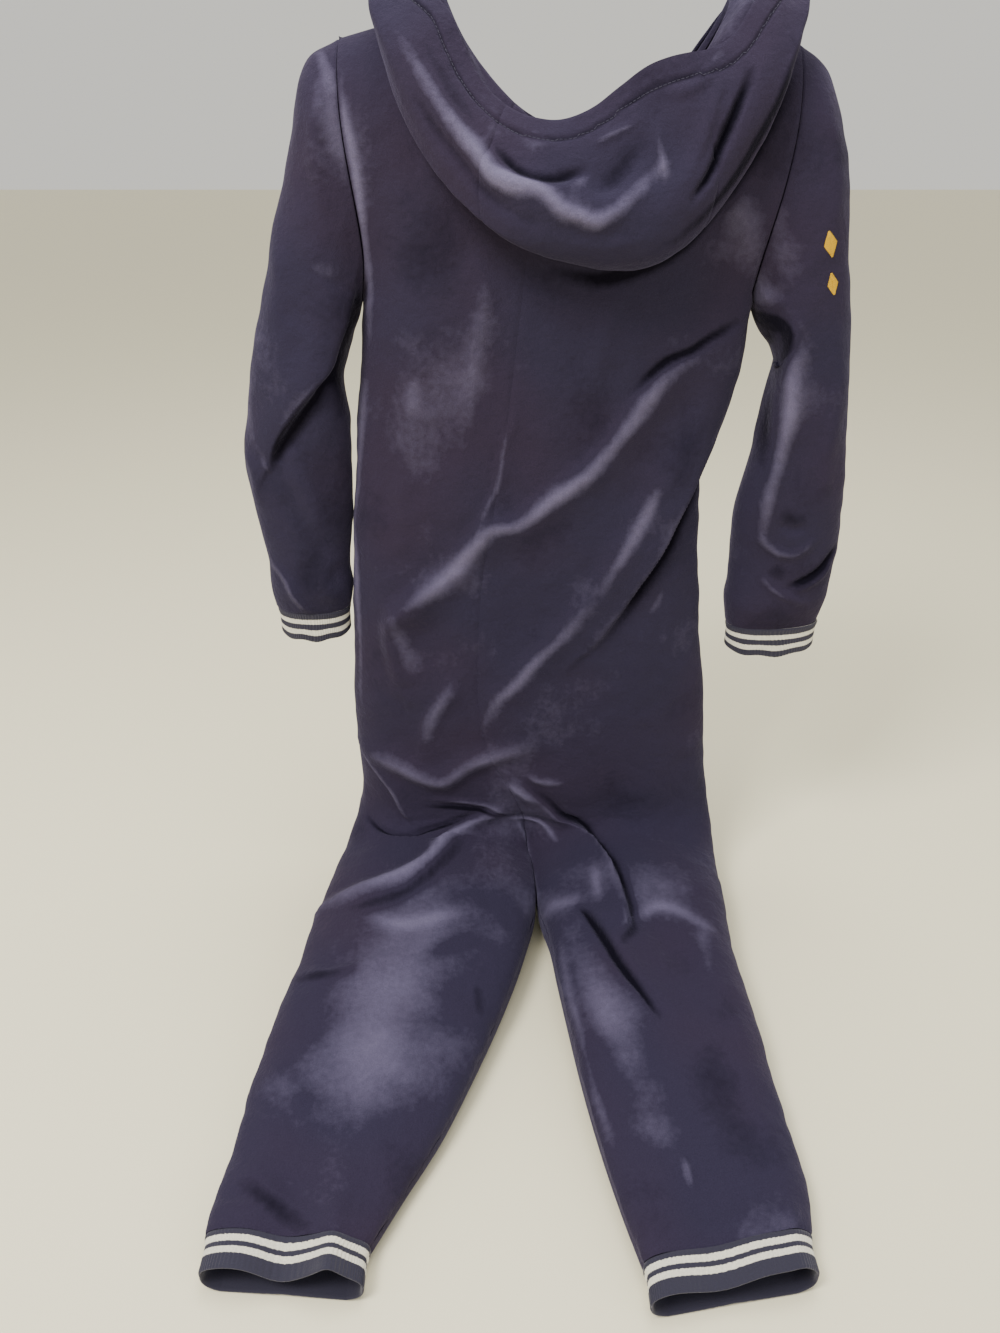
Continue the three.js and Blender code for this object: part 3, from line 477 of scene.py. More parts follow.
roomLight = {"color": (0.95, 0.93, 0.86), "strength": 0.85}
world = bpy.data.worlds.new("studio")
world.use_nodes = True
world.node_tree.nodes["Background"].inputs["Color"].default_value = (*roomLight["color"], 1)
world.node_tree.nodes["Background"].inputs["Strength"].default_value = roomLight["strength"]
bpy.context.scene.world = world
print("camera, floor and lights placed")

# The body: chest, seat and legs are cut in one length. Each row is a section: mm down the cloth, where it lies,
# its tilt from hanging 0 to lying 90, the outer edges, and the middle seams behind and in front.
bodyTable = makeTable(
    ["along", "y", "z", "tilt", "leftOut", "rightOut", "backMid", "frontMid", "split", "back", "front",
     "wrap"], [
        [214, 0, -214, 0, -167, 147, -39, 4, 0, 50, 42, 90],
        [260, 0, -260, 0, -171, 137, -44, 2, 0, 46, 40, 90],
        [320, 0, -320, 0, -178, 125, -51, -4, 0, 42, 38, 90],
        [380, 0, -380, 0, -184, 122, -60, -10, 0, 40, 37, 90],
        [440, 0, -440, 0, -190, 127, -70, -12, 0, 38, 36, 90],
        [510, 0, -510, 0, -195, 136, -75, -14, 0, 37, 36, 90],
        [580, 0, -580, 0, -198, 145, -75, -18, 0, 38, 36, 90],
        [640, 0, -640, 0, -197, 152, -62, -24, 0, 38, 36, 96],
        [670, 0, -670, 0, -197, 156, -45, -28, 0, 38, 36, 104],
        [697, 0, -697, 0, -199, 160, -35, -30, 0, 37, 36, 118],
        [721, -4.7, -720.7, 22.5, -204, 163, -31, -30, 0, 36, 36, 138],
        [746, -18.2, -740.8, 45, -211, 165, -29, -29, 0, 36, 36, 158],
        [770, -38.3, -754.3, 67.5, -217, 166, -27, -27, 0, 38, 37, 174],
        [794, -62, -759, 90, -221, 166, -23, -23, 0.3, 39, 39, 180],
        [824, -92, -760, 90, -226, 164, -20, -20, 0.5, 39, 40, 180],
        [850, -118, -761, 90, -230, 163, -19, -19, 2, 38, 40, 180],
        [885, -153, -762, 90, -235, 162, -19, -19, 10, 36, 39, 180],
        [925, -193, -764, 90, -240, 162, -22, -22, 18, 33, 37, 180],
        [975, -243, -767, 90, -247, 163, -27, -27, 30, 29, 33, 180],
        [1025, -293, -771, 90, -253, 165, -33, -33, 44, 25, 28, 180],
        [1075, -343, -774, 90, -257, 167, -39, -39, 60, 21, 25, 180],
        [1120, -388, -777, 90, -260, 168, -46, -46, 78, 18, 21, 180],
        [1160, -428, -778, 90, -262, 164, -51, -51, 94, 16, 20, 180],
    ])
# the chest from the shoulder 0 to the armpit 1
chestTable = makeTable(["part", "leftEdge", "rightEdge", "back", "front", "turn"], [
    [0, -172, 162, 56, 46, 42],
    [0.25, -167, 160, 56, 47, 40],
    [0.55, -162, 154, 55, 46, 36],
    [0.8, -161, 149, 52, 44, 24],
    [0.93, -164, 147, 51, 43, 12],
    [1, -167, 147, 50, 42, 0],
])
neck = {"x": 8, "halfWidth": 104, "sideZ": -14, "drop": 91, "dropPower": 1.7, "nape": 50, "throat": 44,
        "napeAngle": -20, "throatAngle": 178}
shoulderTipZ = {"left": -33, "right": -36}
shoulderShare = 0.4        # of a panel's columns, those that end on the shoulder seam
chestFill = {"depthBy": 0.36, "widthRate": 1.15}      # how soon below the neck the chest takes its full size
hanging = {"from": 100, "armpit": 214, "fork": 800}   # mm down the cloth; below the fork the legs part
legEnd = 1160.0
slantFrom = 900.0
legSlant = {"left": 8, "right": 20}
bodyRound = 2.5            # how square the sections are: 2 is an ellipse
lyingRound = 3.4           # the same for the undersides of the lying legs


def sectionPower(tilt, face):
    return np.full(np.shape(tilt), 2 / bodyRound) if face < 0 else 2 / mix(bodyRound, lyingRound, tilt / 90)


def neckPoint(angle):
    a = np.radians(angle)
    depth = np.where(np.cos(a) > 0, neck["nape"], neck["throat"])
    drop = neck["drop"] * np.abs(np.cos(a)) ** neck["dropPower"]
    return np.stack([neck["x"] + neck["halfWidth"] * np.sin(a), -depth * np.cos(a), neck["sideZ"] - drop], -1)


def chestGrid(side, face, part, column):
    part = part[:, None]
    sideAngle = -90 if side == "left" else 90
    middleAngle = neck["napeAngle"] if face < 0 else neck["throatAngle"] - (360 if side == "left" else 0)
    toTip = np.clip(1 - column / shoulderShare, 0, 1)
    neckX = neck["x"] + neck["halfWidth"] * (-1 if side == "left" else 1)
    tipX = chestTable[side + "Edge"][0]
    shoulder = np.stack([mix(neckX, tipX, toTip), np.zeros_like(toTip),
                         mix(neck["sideZ"], shoulderTipZ[side], toTip)], -1)
    toMiddle = np.clip((column - shoulderShare) / (1 - shoulderShare), 0, 1)
    roundNeck = neckPoint(mix(sideAngle, middleAngle, toMiddle))
    top = np.where((column <= shoulderShare)[..., None], shoulder, roundNeck)
    turn = valueAt(chestTable, "part", "turn", part)
    edge = valueAt(chestTable, "part", side + "Edge", part)
    depth = valueAt(chestTable, "part", "back" if face < 0 else "front", part)
    angle = np.radians(mix(turn, 90, column))
    n = 2 / bodyRound
    across = signedPower(np.cos(angle), n) / signedPower(np.cos(np.radians(turn)), n)
    lowerMiddle = bodyTable["backMid" if face < 0 else "frontMid"][0]
    middleX = mix(neckPoint(np.array(middleAngle, float))[0], lowerMiddle, part)
    ringX = mix(middleX, edge, across)
    swell = np.sqrt(1 - (1 - np.clip(part / chestFill["depthBy"], 0, 1)) ** 2)
    x = mix(top[..., 0], ringX, smoothStep(part * chestFill["widthRate"]))
    y = mix(top[..., 1], face * depth * signedPower(np.sin(angle), n), swell)
    return np.stack([x, y, mix(top[..., 2], armpitZ, part)], -1)


def bodyGrid(side, face, along, column):
    along = along[:, None]

    def at(key):
        return valueAt(bodyTable, "along", key, along)

    away = -1 if side == "left" else 1
    wrap = np.radians(np.clip(at("wrap"), 90, 180))
    angle = wrap * column
    tilt = np.clip(at("tilt"), 0, 90)
    n = sectionPower(tilt, face)
    split = np.where(along < hanging["fork"], 0, at("split"))
    middle = at("backMid" if face < 0 else "frontMid") + away * split
    out = at(side + "Out")
    half = (out - middle) / (1 - signedPower(np.cos(wrap), n))
    x = out - half + half * signedPower(np.cos(angle), n)
    deep = -face * at("back" if face < 0 else "front") * signedPower(np.sin(angle), n)
    tilt = np.radians(tilt)
    y = at("y") - deep * np.cos(tilt)
    z = at("z") + deep * np.sin(tilt)
    slant = legSlant[side] * smoothStep((along - slantFrom) / (legEnd - slantFrom))
    y = y - slant * np.clip((x - out) / (middle - out), 0, 1)
    return np.stack([x, y, np.maximum(z, floorZ)], -1)


# Folds on the back, from the armhole down to the shins. Each row: height, width to its left, width to its
# right, and its path as x and mm down the cloth. On a path that runs down, left is the wearer's left.
backFolds = [
    (9, 15, 30, [[120, 238], [94, 254], [75, 270], [58, 293], [37, 323], [17, 346], [-14, 370], [-38, 390],
                 [-62, 395], [-78, 412], [-100, 438], [-128, 462], [-152, 478]]),  # long fold
    (-4, 6, 6, [[132, 226], [112, 237], [97, 247], [80, 254], [67, 264], [52, 280]]),
    (6, 18, 24, [[96, 330], [81, 356], [67, 389], [52, 419], [35, 452], [13, 482], [-4, 505], [-23, 527],
                 [-40, 550], [-58, 568], [-74, 604]]),  # second long fold
    (9, 14, 32, [[-100, 440], [-138, 472], [-156, 500], [-148, 560]]),
    (2.5, 5, 8, [[-42, 296], [-51, 320], [-57, 356], [-66, 376], [-76, 402]]),
    (11, 46, 5, [[144, 222], [138, 250], [134, 277], [128, 300], [118, 333], [108, 363], [98, 389], [86, 419],
                [71, 446], [57, 472], [41, 497], [24, 518]]),  # step beside the side
    (-5, 5, 9, [[148, 228], [143, 250], [139, 277], [133, 301], [123, 335], [113, 365], [103, 391], [91, 421],
                  [76, 448], [61, 474], [45, 497]]),
    (4, 12, 16, [[-92, 545], [-102, 560], [-114, 576], [-124, 598], [-130, 628]]),
    (9, 15, 20, [[-186, 634], [-156, 644], [-134, 655], [-110, 660], [-85, 641], [-59, 631], [-28, 621]]),
    (5, 4, 26, [[-190, 640], [-171, 664], [-158, 686], [-143, 730]]),  # edge of the seat over the thigh
    (-3.5, 4, 5, [[-128, 688], [-102, 690], [-82, 692], [-65, 697], [-50, 708]]),
    (3, 12, 4, [[-128, 684], [-102, 685], [-82, 687], [-65, 691], [-50, 702]]),
    (-6, 5, 9, [[-190, 722], [-168, 756], [-146, 763], [-124, 746], [-99, 728], [-76, 700]]),
    (11, 14, 24, [[-62, 700], [-84, 726], [-98, 752], [-110, 786], [-120, 812], [-136, 829], [-156, 842],
                 [-182, 852], [-222, 860]]),  # roll over the left thigh
    (3.5, 8, 8, [[-46, 664], [-36, 672], [-20, 684]]),
    (3, 7, 7, [[-26, 654], [-14, 660], [6, 662]]),
    (9, 30, 5, [[-34, 664], [-9, 688], [8, 713], [27, 743], [42, 796], [52, 823], [58, 856], [61, 882],
                [60, 902], [50, 918]]),  # curved fold over the right thigh
    (-5.5, 5, 9, [[-22, 668], [-3, 688], [14, 713], [33, 743], [48, 794], [58, 823], [64, 856], [67, 882],
                  [64, 904]]),
    (2.5, 5, 5, [[-44, 722], [-20, 727], [-8, 740], [2, 770]]),
    (4.5, 14, 4, [[-36, 730], [-29, 756], [-24, 783], [-20, 813], [-18, 840]]),
    (-6, 4, 6, [[18, 872], [26, 886], [38, 915], [51, 945], [65, 968], [79, 992]]),
    (4, 5, 18, [[24, 874], [34, 888], [46, 915], [59, 943], [74, 966], [90, 992]]),
    (-4, 20, 26, [[60, 860], [88, 905], [114, 960]]),
    (2.5, 14, 14, [[-70, 176], [-67, 208], [-73, 244], [-84, 320]]),
    (2.5, 16, 16, [[26, 186], [29, 214], [24, 250], [10, 286]]),
    (2, 14, 18, [[-120, 230], [-126, 290], [-136, 350], [-142, 410]]),
    (3, 16, 20, [[112, 120], [122, 140], [134, 160], [146, 190]]),
    (3, 12, 10, [[-236, 942], [-207, 950], [-176, 944], [-140, 928]]),
    (2.5, 16, 16, [[-222, 1064], [-200, 1068], [-178, 1060]]),
    (3, 12, 14, [[-246, 1118], [-221, 1132], [-200, 1146], [-184, 1158]]),
    (2.5, 5, 5, [[76, 1098], [81, 1110], [84, 1124]]),
    (2, 5, 5, [[52, 1112], [60, 1122], [68, 1132]]),
    (3, 20, 22, [[150, 985], [140, 1030], [146, 1080]]),
]
# painted highlights along the fold crests and the armhole seam, and painted shade in the creases, the armpit
# and under the hood's edge, in rows of the same kind
backPaintedLight = [
    (1.0, 10, 13, backFolds[0][3][1:]),
    (-1.3, 7, 5, backFolds[1][3]),
    (0.7, 8, 10, [[84, 350], [67, 389], [52, 419], [35, 452]]),
    (0.8, 8, 11, [[20, 474], [-4, 505], [-23, 526], [-40, 549], [-58, 568], [-72, 600]]),
    (0.6, 5, 5, backFolds[4][3]),
    (0.55, 16, 16, [[-152, 476], [-148, 495], [-142, 522], [-138, 545]]),
    (0.6, 12, 12, [[-100, 552], [-111, 571], [-122, 594], [-127, 620]]),
    (-1.4, 5, 9, [[147, 224], *backFolds[6][3][1:]]),
    (0.35, 12, 5, backFolds[5][3]),
    (0.75, 12, 14, backFolds[8][3]),
    (0.6, 4, 5, backFolds[9][3]),
    (-1.3, 4, 5, [[x, along + 4] for x, along in backFolds[10][3]]),
    (0.5, 3, 3, backFolds[11][3]),
    (-1.2, 4, 5, [[x, along + 2] for x, along in backFolds[12][3]]),
    (0.45, 3, 3, [[x, along - 6] for x, along in backFolds[12][3]]),
    (1.0, 12, 16, backFolds[13][3]),
    (-0.9, 10, 14, [[-88, 770], [-106, 812], [-130, 846], [-160, 868], [-205, 882]]),
    (0.7, 6, 7, backFolds[14][3]),
    (0.6, 6, 6, backFolds[15][3]),
    (-1.5, 5, 8, [[x + 5, along] for x, along in backFolds[16][3]]),
    (0.35, 5, 3, backFolds[16][3]),
    (0.7, 5, 5, backFolds[18][3]),
    (0.7, 5, 4, backFolds[19][3]),
    (-1.5, 5, 6, backFolds[20][3]),
    (0.5, 9, 12, [[58, 908], [68, 893], [86, 879], [103, 879], [127, 892], [144, 902]]),
    (0.5, 12, 12, [[-14, 858], [3, 862], [22, 864]]),
    (0.5, 8, 8, [[36, 828], [37, 872]]),
    (0.5, 14, 14, [[-180, 889], [-139, 899], [-81, 879]]),
    (0.7, 68, 62, [[-104, 850], [-138, 920], [-160, 988], [-166, 1044], [-180, 1130]]),
    (0.5, 24, 34, [[8, 880], [26, 960], [48, 1030], [70, 1100]]),
    (-0.6, 8, 10, [[-236, 948], [-207, 952], [-180, 948]]),
    (-0.5, 13, 13, [[-216, 1067], [-198, 1067]]),
    (-0.45, 13, 13, [[-118, 935], [-99, 922], [-76, 908]]),
    (-0.5, 9, 9, [[-75, 955], [-72, 985]]),
    (-0.7, 11, 12, [[-246, 1126], [-221, 1140], [-203, 1150], [-182, 1158]]),
    (0.35, 13, 13, [[130, 896], [124, 966]]),
    (-0.4, 42, 42, [[112, 1010], [132, 1130]]),
    (0.45, 6, 6, [[-2, 900], [6, 960], [20, 1040], [34, 1100]]),
    (0.5, 5, 5, [[80, 1104], [82, 1122]]),
    (0.3, 16, 14, [[-72, 178], [-67, 208], [-73, 244], [-84, 322]]),
    (0.3, 12, 12, [[30, 196], [28, 256]]),
    (0.3, 10, 10, [[-124, 268], [-126, 300]]),
    (0.45, 6, 6, [[94, 452], [88, 472], [80, 482]]),
    (0.8, 7, 8, [[-172, 44], [-172, 66], [-163, 106], [-160, 150], [-159, 210], [-163, 257]]),
    (0.7, 6, 6, [[-163, 257], [-171, 303], [-179, 363], [-186, 422], [-187, 490], [-189, 560], [-192, 630]]),
    (0.45, 22, 26, [[118, 130], [126, 146], [136, 164], [146, 200]]),
    (-1.5, 9, 12, [[150, 62], [130, 100], [108, 136], [84, 162], [56, 180], [24, 190], [-14, 186]]),
    (-1.2, 7, 5, [[150, 214], [144, 230], [138, 262], [133, 296]]),
]
# soft hanging folds on the front
frontFolds = [
    (4, 22, 18, [[-128, 150], [-118, 240], [-124, 340], [-112, 430]]),
    (4, 18, 24, [[104, 170], [92, 250], [98, 350], [82, 440]]),
    (5, 20, 16, [[-150, 470], [-108, 520], [-92, 580], [-104, 640]]),
    (5, 16, 20, [[124, 480], [88, 540], [84, 600], [96, 650]]),
    (-3, 10, 10, [[-62, 690], [-110, 700], [-150, 694]]),
    (-3, 10, 10, [[20, 692], [70, 702], [112, 696]]),
    (3, 12, 12, [[-90, 90], [-72, 140], [-68, 190]]),
    (3, 12, 12, [[88, 92], [74, 140], [68, 190]]),
]
# painted highlights along the front folds, and painted shade along the two front creases
frontPaintedLight = [(0.5, 12, 12, row[3]) for row in frontFolds[:4]]
frontPaintedLight += [(-0.6, 4, 4, row[3]) for row in frontFolds[4:6]]

# how finely the cloth is divided: the rows crowd towards the neck, and the back's columns towards the side
bodyDetail = {"chestRows": 80, "crowdRows": 1.7, "legStep": 2.6, "backColumns": 98, "crowdColumns": 1.12,
              "frontColumns": 52}
zipSize = {"halfGap": 5, "end": 614, "closeOver": 40, "topGap": 0.018,
           "tapeEnd": 600, "tapeHalf": 11, "tape": 1.0, "below": 0.5,
           "pitch": 1.7, "tooth": (4.2, 1.5, 1.9), "toothSide": 0.75, "toothUnder": 1.35}
chestPart = np.linspace(0, 1, bodyDetail["chestRows"]) ** bodyDetail["crowdRows"]
lowerRows = int((legEnd - hanging["armpit"]) / bodyDetail["legStep"]) + 1
lowerAlong = np.linspace(hanging["armpit"], legEnd, lowerRows)[1:]
rowAlong = np.concatenate([mix(hanging["from"], hanging["armpit"], chestPart), lowerAlong])
rowPart = np.concatenate([chestPart, np.ones(len(lowerAlong))])[:, None]
softLumps = makeRipple(3, 46)
smallLumps = makeRipple(8, 13)


def zipEdgeColumn(side):
    # how far round each row of the front runs before it meets the zip
    gap = zipSize["halfGap"] * smoothStep((zipSize["end"] - rowAlong) / zipSize["closeOver"])
    turn = np.concatenate([valueAt(chestTable, "part", "turn", chestPart), 0 * lowerAlong])
    chestReach = valueAt(chestTable, "part", side + "Edge", chestPart)
    lowerOut = valueAt(bodyTable, "along", side + "Out", lowerAlong)
    lowerMiddle = valueAt(bodyTable, "along", "frontMid", lowerAlong)
    reach = np.abs(np.concatenate([chestReach, lowerOut - lowerMiddle]))
    angle = np.degrees(np.arccos((gap / reach) ** (bodyRound / 2) * np.cos(np.radians(turn))))
    ring = (angle - turn) / (90 - turn)
    top = 1 - zipSize["topGap"] * gap / zipSize["halfGap"]
    return mix(top, ring, smoothStep(rowPart[:, 0] * chestFill["widthRate"]))[:, None]


def bodyBase(side):
    # one half, and how far round each point lies: -1 at the centre back, 0 at the side, 1 in front
    backColumn = 1 - np.linspace(0, 1, bodyDetail["backColumns"])[None, :] ** bodyDetail["crowdColumns"]
    backColumn = np.broadcast_to(backColumn, (len(rowAlong), bodyDetail["backColumns"]))
    frontColumn = np.linspace(0, 1, bodyDetail["frontColumns"])[None, 1:] * zipEdgeColumn(side)
    chestRows = bodyDetail["chestRows"]
    grids = []
    for face, column in ((-1, backColumn), (1, frontColumn)):
        upper = chestGrid(side, face, chestPart, column[:chestRows])
        lower = bodyGrid(side, face, lowerAlong, column[chestRows:])
        grids.append(np.concatenate([upper, lower]))
    return np.concatenate(grids, axis=1), np.concatenate([-backColumn, frontColumn], axis=1)


bodySides = {}
for side in ("left", "right"):
    base, across = bodyBase(side)
    bodySides[side] = {"base": base, "across": across, "flip": 1 if side == "left" else -1}
# the halves share one direction along the centre-back seam, so the seam stays closed
for side, cloth in bodySides.items():
    cloth["normal"] = gridNormals(cloth["base"], False, cloth["flip"])
joined = rowAlong < hanging["fork"]
shared = unit((bodySides["left"]["normal"][:, 0] + bodySides["right"]["normal"][:, 0]) * np.array([0, 1, 1]))
for cloth in bodySides.values():
    cloth["normal"][joined, 0] = shared[joined]


# how the upper side of each leg's end and its cuff rises and dips: height, place from -1 to 1 across, width
legLip = {
    "left": [(-8.5, 0.0, 0.34), (4.5, 0.58, 0.17)],
    "right": [(-6.5, -0.2, 0.42), (2.5, 0.8, 0.16)],
    "upperOver": 12, "blend": 70,
    "puff": 2.5, "puffBack": 12, "puffLong": 8, "puffSide": 0.3,
}
# Where the folds and the painted light fade out, as shares of the way round or down. frontEnd is mm down the
# cloth, and the zip's and the table's values are mm too.
foldFade = {
    "backSide": 0.08, "napSide": 0.03, "frontSide": 0.2, "neck": 0.05, "backTop": 0.2, "frontTop": 0.3,
    "frontEnd": 720, "zipFrom": 8, "zipOver": 22, "armholeTop": 0.08, "armholeSide": 0.07, "tableOver": 12,
}
lumpSize = {"soft": 0.8, "small": 0.25, "top": 0.15}


def acrossRing(ring, points):
    # where points lie across a ring, from -1 to 1
    low, high = ring[:, 0].min(), ring[:, 0].max()
    return (points[..., 0] - (high + low) / 2) / ((high - low) / 2)


def lipRise(side, points):
    ring = bodySides[side]["base"][-1]
    across = np.clip(acrossRing(ring, points), -1, 1)
    rise = sum(height * np.exp(-((across - place) / width) ** 2) for height, place, width in legLip[side])
    upper = smoothStep((points[..., 2] - ring[:, 2].mean()) / legLip["upperOver"] + 0.5)
    return rise * upper * (1 - across ** 8)


def foldedBody(cloth, side):
    base, across, flip = cloth["base"], cloth["across"], cloth["flip"]
    x = base[..., 0]
    along = np.where(rowPart < 1, -base[..., 2], rowAlong[:, None])
    belowNeck = rowPart - foldFade["neck"]
    onBack = smoothStep(-across / foldFade["backSide"]) * smoothStep(belowNeck / foldFade["backTop"])
    onFront = smoothStep(across / foldFade["frontSide"]) * smoothStep(belowNeck / foldFade["frontTop"])
    byZip = smoothStep((np.abs(x - x[:, -1:]) - foldFade["zipFrom"]) / foldFade["zipOver"])
    inFront = onFront * (along < foldFade["frontEnd"]) * byZip
    lift = strokeField(backFolds, x, along) * onBack + strokeField(frontFolds, x, along) * inFront
    # painted highlights and painted shade from the strokes, fading out towards the side
    nap = strokeField(backPaintedLight, x, along) * smoothStep(-across / foldFade["napSide"])
    nap = nap + strokeField(frontPaintedLight, x, along) * inFront
    lumps = lumpSize["soft"] * softLumps(base) + lumpSize["small"] * smallLumps(base)
    lift = lift + lumps * np.where(across > 0, byZip, 1) * smoothStep(rowPart / lumpSize["top"])
    byArmhole = smoothStep((1 - rowPart) / foldFade["armholeTop"])
    byArmhole = byArmhole * smoothStep(1 - np.abs(across) / foldFade["armholeSide"])
    offTable = smoothStep((base[..., 2] - floorZ - 1) / foldFade["tableOver"])    # on the table it lies flat
    outer = base + cloth["normal"] * (lift * (1 - byArmhole) * offTable)[..., None]
    limit = np.where(across < 0, x[:, :1], x[:, -1:])      # no fold passes a middle seam
    outer[..., 0] = np.minimum(outer[..., 0], limit) if flip > 0 else np.maximum(outer[..., 0], limit)
    outer[joined, 0, 0] = base[joined, 0, 0]
    ending = smoothStep(1 - (legEnd - rowAlong) / legLip["blend"])[:, None]
    fromPuff = (rowAlong - legEnd + legLip["puffBack"]) / legLip["puffLong"]
    puff = legLip["puff"] * np.exp(-fromPuff ** 2)[:, None] * smoothStep(-across / legLip["puffSide"])
    outer[..., 2] += lipRise(side, outer) * ending + puff
    outer[..., 2] = np.maximum(outer[..., 2], restZ)
    return outer, nap


allEdges = ["top", "bottom", "first", "last"]


def panelShells(side):
    cloth = bodySides[side]
    outer = cloth["outer"]
    normal = gridNormals(outer, False, cloth["flip"])
    legs = ~joined
    normal[legs, 0] += normal[legs, -1]          # front and back meet between the legs
    normal[legs, -1] = normal[legs, 0]
    normal[joined, 0] = (bodySides["left"]["seam"] + bodySides["right"]["seam"])[joined] * np.array([0, 1, 1])
    inner = outer - unit(normal) * wall
    atSide = bodyDetail["backColumns"] - 1
    shells = {}
    for panel, part in (("back_", np.s_[:, :atSide + 1]), ("front_", np.s_[:, atSide:])):
        outside, inside = softEdges(outer[part], inner[part], allEdges)
        shells[panel + side] = (outside, inside, cloth["nap"][part])
    return shells


def dress(piece, node):
    # the piece of cloth rides on the garment and stands for its solid
    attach(piece, "garment")
    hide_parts(node)


for side, cloth in bodySides.items():
    cloth["outer"], cloth["nap"] = foldedBody(cloth, side)
    cloth["seam"] = gridNormals(cloth["outer"], False, cloth["flip"])[:, 0]
for side in bodySides:
    for node, (outside, inside, nap) in panelShells(side).items():
        piece = makeShell("cloth_" + node, outside, inside, False, plush, nap=nap)
        dress(piece, node)
print("body panels made")

# rings down each sleeve: x and z of the inner edge and of the outer edge, y of the middle, and the depth
sleeveTables = {
    "left": [
        [-172, -214, -172, -33, 0, 34],
        [-174, -230, -199, -50, -1, 36],
        [-177, -244, -214, -98, -2, 37],
        [-181, -258, -229, -152, -3, 36],
        [-187, -278, -247, -212, -4, 34],
        [-184, -312, -264, -272, -4, 31],
        [-184, -350, -275, -330, -3, 28],
        [-187, -392, -273, -382, -2, 26],
        [-192, -436, -267, -432, 0, 25],
        [-196, -486, -264, -486, 2, 22],
    ],
    "right": [
        [152, -214, 162, -36, 0, 34],
        [161, -236, 184, -52, -1, 36],
        [169, -250, 201, -88, -2, 36],
        [174, -262, 212, -132, -2, 35],
        [174, -268, 223, -190, -2, 33],
        [168, -302, 234, -256, -2, 30],
        [163, -348, 243, -326, -1, 28],
        [156, -396, 250, -388, 0, 27],
        [156, -446, 252, -440, 1, 25],
        [160, -504, 246, -500, 2, 22],
    ],
}
sleeveRound = 2.3          # how square the sleeves are: 2 is an ellipse
sleeveDetail = {"rows": 190, "columns": 220, "soft": 0.7, "small": 0.22, "top": 0.08,
                "puff": 3.0, "puffAt": 0.955, "puffLong": 0.035}
cuffDetail = {"rows": 26, "columns": 540, "ribs": 90, "ribDepth": 0.3, "ribsFrom": 0.1, "wall": 1.8,
              "drawnRate": 3}
sleeveCuff = {"length": 24, "drawnIn": 1.5, "dip": 4,
              "wave": 2.5, "waveFrom": -0.4, "waveShare": 0.45, "wavePace": 2.6, "waveMiddle": 0.08}
legCuff = {"length": 27, "drawnIn": 2, "dip": 0, "lipGrows": 1.5}

# folds, and painted highlights and painted shade, on the backs of the sleeves, in rows like those of the back
sleeveFolds = {
    "left": [
        (9, 34, 5, [[-170, 200], [-176, 214], [-181, 228], [-186, 242], [-192, 257], [-206, 275], [-223, 295],
                    [-240, 318], [-252, 344]]),      # upper arm over the forearm
        (-7, 5, 16, [[-168, 212], [-181, 237], [-190, 259], [-204, 281], [-221, 301], [-238, 324],
                     [-248, 344]]),
        (3, 5, 9, [[-262, 434], [-249, 450], [-240, 471], [-230, 485]]),
        (2.5, 14, 14, [[-232, 340], [-224, 366], [-214, 404]]),
        (3, 8, 10, [[-272, 330], [-264, 352], [-266, 380]]),
        (3, 12, 10, [[-205, 428], [-214, 450], [-208, 474]]),
        (2.5, 12, 14, [[-236, 120], [-226, 180], [-236, 236]]),
        (3, 10, 12, [[-176, 56], [-190, 96], [-188, 150]]),
    ],
    "right": [
        (5.5, 10, 14, [[172, 214], [179, 231], [182, 260], [185, 300], [182, 341], [178, 375], [177, 410]]),
        (-4, 12, 8, [[164, 240], [167, 290], [168, 340]]),
        (3.5, 7, 7, [[176, 406], [184, 418], [196, 425], [210, 425], [226, 412]]),
        (-3, 8, 8, [[190, 396], [202, 402], [214, 400]]),
        (3.5, 6, 7, [[182, 448], [190, 457], [200, 464], [212, 469], [226, 474]]),
        (-4.5, 4, 5, [[247, 422], [235, 441], [225, 449], [209, 456]]),
        (3, 9, 4, [[247, 430], [237, 448], [226, 456], [212, 462]]),
        (3, 14, 14, [[214, 230], [224, 280], [222, 340], [230, 390]]),
        (3, 12, 14, [[174, 60], [192, 110], [200, 170]]),
        (4, 16, 8, [[140, 190], [150, 204], [170, 214]]),
    ],
}
